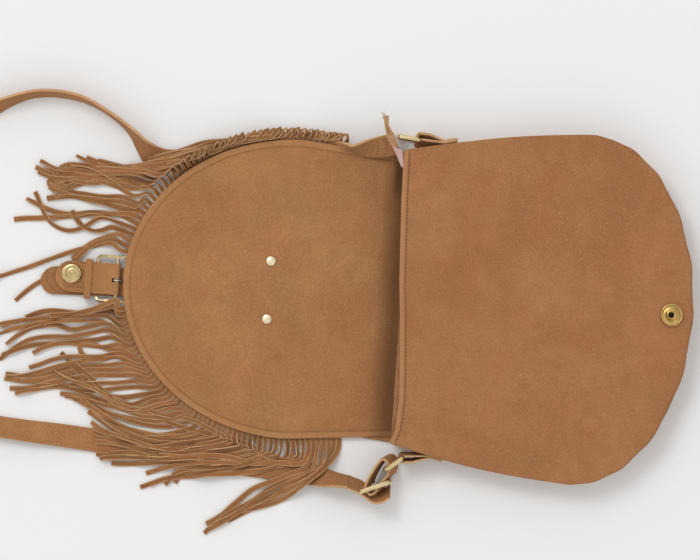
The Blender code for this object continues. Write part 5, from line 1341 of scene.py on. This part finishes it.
def plated(name, colour, roughness):
    material = bpy.data.materials.new(name)
    material.use_nodes = True
    tree = material.node_tree
    shader = tree.nodes["Principled BSDF"]
    where = tree.nodes.new("ShaderNodeTexCoord").outputs["Object"]
    tarnish = spread(tree, noise_node(tree, where, 160.0, 4.0), 0.35, 0.7)
    worn = tuple(0.72 * c for c in colour)
    tree.links.new(mix_node(tree, tarnish, colour, worn), shader.inputs["Base Color"])
    shader.inputs["Metallic"].default_value = 1.0
    rough = tree.nodes.new("ShaderNodeMapRange")
    rough.inputs["To Min"].default_value = roughness
    rough.inputs["To Max"].default_value = roughness + 0.16
    tree.links.new(tarnish, rough.inputs["Value"])
    tree.links.new(rough.outputs["Result"], shader.inputs["Roughness"])
    return material


gold = plated("pale_gold", GOLD, 0.22)
steel = plated("bright_steel", SILVER, 0.2)
for name in ("closure_buckle", "rivet_post_far", "rivet_post_near"):
    bpy.data.objects[name].material_slots[0].material = gold
for name in ("strap_prong", "closure_prong", "snap_stud_washer", "snap_socket_washer"):
    bpy.data.objects[name].material_slots[0].material = steel
for name, body, swell in WIRES:
    fuller(name, f"{name}_wire", body, swell, soft=0.0, material=gold)


# Rivets. Two flat-headed rivets of bright brass. Each has a flanged post that goes through the flap
# from its outside, and a cap that is pressed onto the post on the facing's side.
RIVET_PLACES = {"far": (-105.0, 21.5), "near": (-105.0, -25.0)}
RIVET_CAP = [
    (0.0, 1.25), (3.3, 1.2), (3.75, 0.95), (3.9, 0.5), (3.7, 0.0), (1.5, 0.0), (1.5, 0.8), (0.0, 0.8),
]
BRIGHT_GOLD = (0.90, 0.78, 0.52)
# Near-black of the painted shade at the bottom of the socket's hole.
INSIDE = (0.05, 0.03, 0.015)


def raised(profile, foot):
    return [(radius, foot + height) for radius, height in profile]


def turned_piece(name, node, body, profile, centre, material, steps=48, hole=0.0):
    """A profile of (radius, height) points, from the top down, spun about an upright axis. Inside the
    radius of its hole it takes a near-black material, painted shade in the hole."""
    bm = bmesh.new()
    verts = [bm.verts.new(Vector((r, 0.0, z)) * MM) for r, z in profile]
    edges = [bm.edges.new(pair) for pair in zip(verts, verts[1:])]
    axis = {"cent": (0, 0, 0), "axis": (0, 0, 1), "angle": 2 * math.pi}
    bmesh.ops.spin(bm, geom=verts + edges, steps=steps, use_merge=True, **axis)
    bmesh.ops.remove_doubles(bm, verts=bm.verts, dist=0.005 * MM)
    bmesh.ops.recalc_face_normals(bm, faces=bm.faces)
    for face in bm.faces:
        face.material_index = 1 if max(vert.co.xy.length for vert in face.verts) < hole * MM else 0
    bmesh.ops.translate(bm, verts=bm.verts, vec=Vector((*centre, 0.0)) * MM)
    piece = piece_of(name, bm, [material, painted_hole_shade])
    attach(piece, body)
    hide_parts(node)


painted_hole_shade = plated("painted_hole_shade", INSIDE, 0.6)
bright_gold = plated("bright_gold", BRIGHT_GOLD, 0.3)
for end, place in RIVET_PLACES.items():
    cap = raised(RIVET_CAP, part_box(f"rivet_cap_{end}")[0][2] / MM)
    turned_piece(f"flat_rivet_{end}", f"rivet_cap_{end}", "flap", cap, place, bright_gold)


# Stud of the magnetic snap. A turned cup of darker gold with a raised lip and a swirl cut into its
# face. Its post goes through the chape to a washer.
STUD_CENTRE = (-263.0, 0.5)
STUD_HEIGHT = 2.0
STUD_HEAD = [(0.0, 1.7), (6.6, 1.6), (7.2, 1.9), (7.8, 1.6), (8.0, 0.9), (7.7, 0.0), (1.5, 0.0)]
POST_RADIUS = 1.5
STUD_TONE = toward(GOLD, (0.6, 0.42, 0.16), 0.5)
STUD_SWIRL = 3.1
STUD_SWIRL_DEPTH = 0.35


def swirl_bump(material, centre, pitch, depth):
    """Cuts a spiral groove into the metal's look, about an upright axis."""
    tree = material.node_tree
    shader = tree.nodes["Principled BSDF"]
    where = tree.nodes.new("ShaderNodeTexCoord").outputs["Object"]
    shift = tree.nodes.new("ShaderNodeVectorMath")
    shift.operation = "SUBTRACT"
    tree.links.new(where, shift.inputs[0])
    shift.inputs[1].default_value = (centre[0] * MM, centre[1] * MM, 0.0)
    split = tree.nodes.new("ShaderNodeSeparateXYZ")
    tree.links.new(shift.outputs[0], split.inputs[0])
    flat = tree.nodes.new("ShaderNodeCombineXYZ")
    tree.links.new(split.outputs["X"], flat.inputs["X"])
    tree.links.new(split.outputs["Y"], flat.inputs["Y"])
    length = tree.nodes.new("ShaderNodeVectorMath")
    length.operation = "LENGTH"
    tree.links.new(flat.outputs[0], length.inputs[0])
    turn = math_node(tree, "ARCTAN2", split.outputs["Y"], split.outputs["X"])
    rings = scaled(tree, length.outputs["Value"], 2 * math.pi / (pitch * MM))
    wave = math_node(tree, "SINE", math_node(tree, "ADD", rings, turn))
    bump = tree.nodes.new("ShaderNodeBump")
    bump.inputs["Strength"].default_value = 1.0
    bump.inputs["Distance"].default_value = depth * MM
    tree.links.new(wave, bump.inputs["Height"])
    tree.links.new(bump.outputs["Normal"], shader.inputs["Normal"])


stud_low, stud_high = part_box("snap_stud")
stud = raised(STUD_HEAD, stud_high[2] / MM - STUD_HEIGHT)
stud += [(POST_RADIUS, stud_low[2] / MM), (0.0, stud_low[2] / MM)]
swirled_gold = plated("swirled_gold", STUD_TONE, 0.24)
swirl_bump(swirled_gold, STUD_CENTRE, STUD_SWIRL, STUD_SWIRL_DEPTH)
turned_piece("swirled_stud", "snap_stud", "flap", stud, STUD_CENTRE, swirled_gold, 64)


# Socket of the snap. A turned disc of deep gold, with rings round the hole that takes the stud. Its
# post goes through the front panel to a washer inside the bag.
SOCKET_CENTRE = (216.5, 0.8)
SOCKET_HEIGHT = 2.6
SOCKET_HOLE = 2.4
SOCKET_FACE = [
    (0.0, 0.6), (2.2, 0.6), (2.3, 2.2), (2.9, 2.6), (3.6, 2.3), (4.0, 1.5), (4.8, 1.3), (5.5, 1.9),
    (6.1, 1.9), (6.7, 1.3), (7.4, 1.3), (8.2, 1.7), (8.9, 1.3), (9.0, 0.5), (8.6, 0.0), (1.5, 0.0),
]
SOCKET_TONE = (0.62, 0.42, 0.15)
SOCKET_SWIRL = 4.6
SOCKET_SWIRL_DEPTH = 0.4

socket_low, socket_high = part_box("snap_socket")
socket = raised(SOCKET_FACE, socket_high[2] / MM - SOCKET_HEIGHT)
socket += [(POST_RADIUS, socket_low[2] / MM), (0.0, socket_low[2] / MM)]
deep_gold = plated("deep_gold", SOCKET_TONE, 0.26)
swirl_bump(deep_gold, SOCKET_CENTRE, SOCKET_SWIRL, SOCKET_SWIRL_DEPTH)
turned_piece("ringed_socket", "snap_socket", "bag", socket, SOCKET_CENTRE, deep_gold, 64, SOCKET_HOLE)
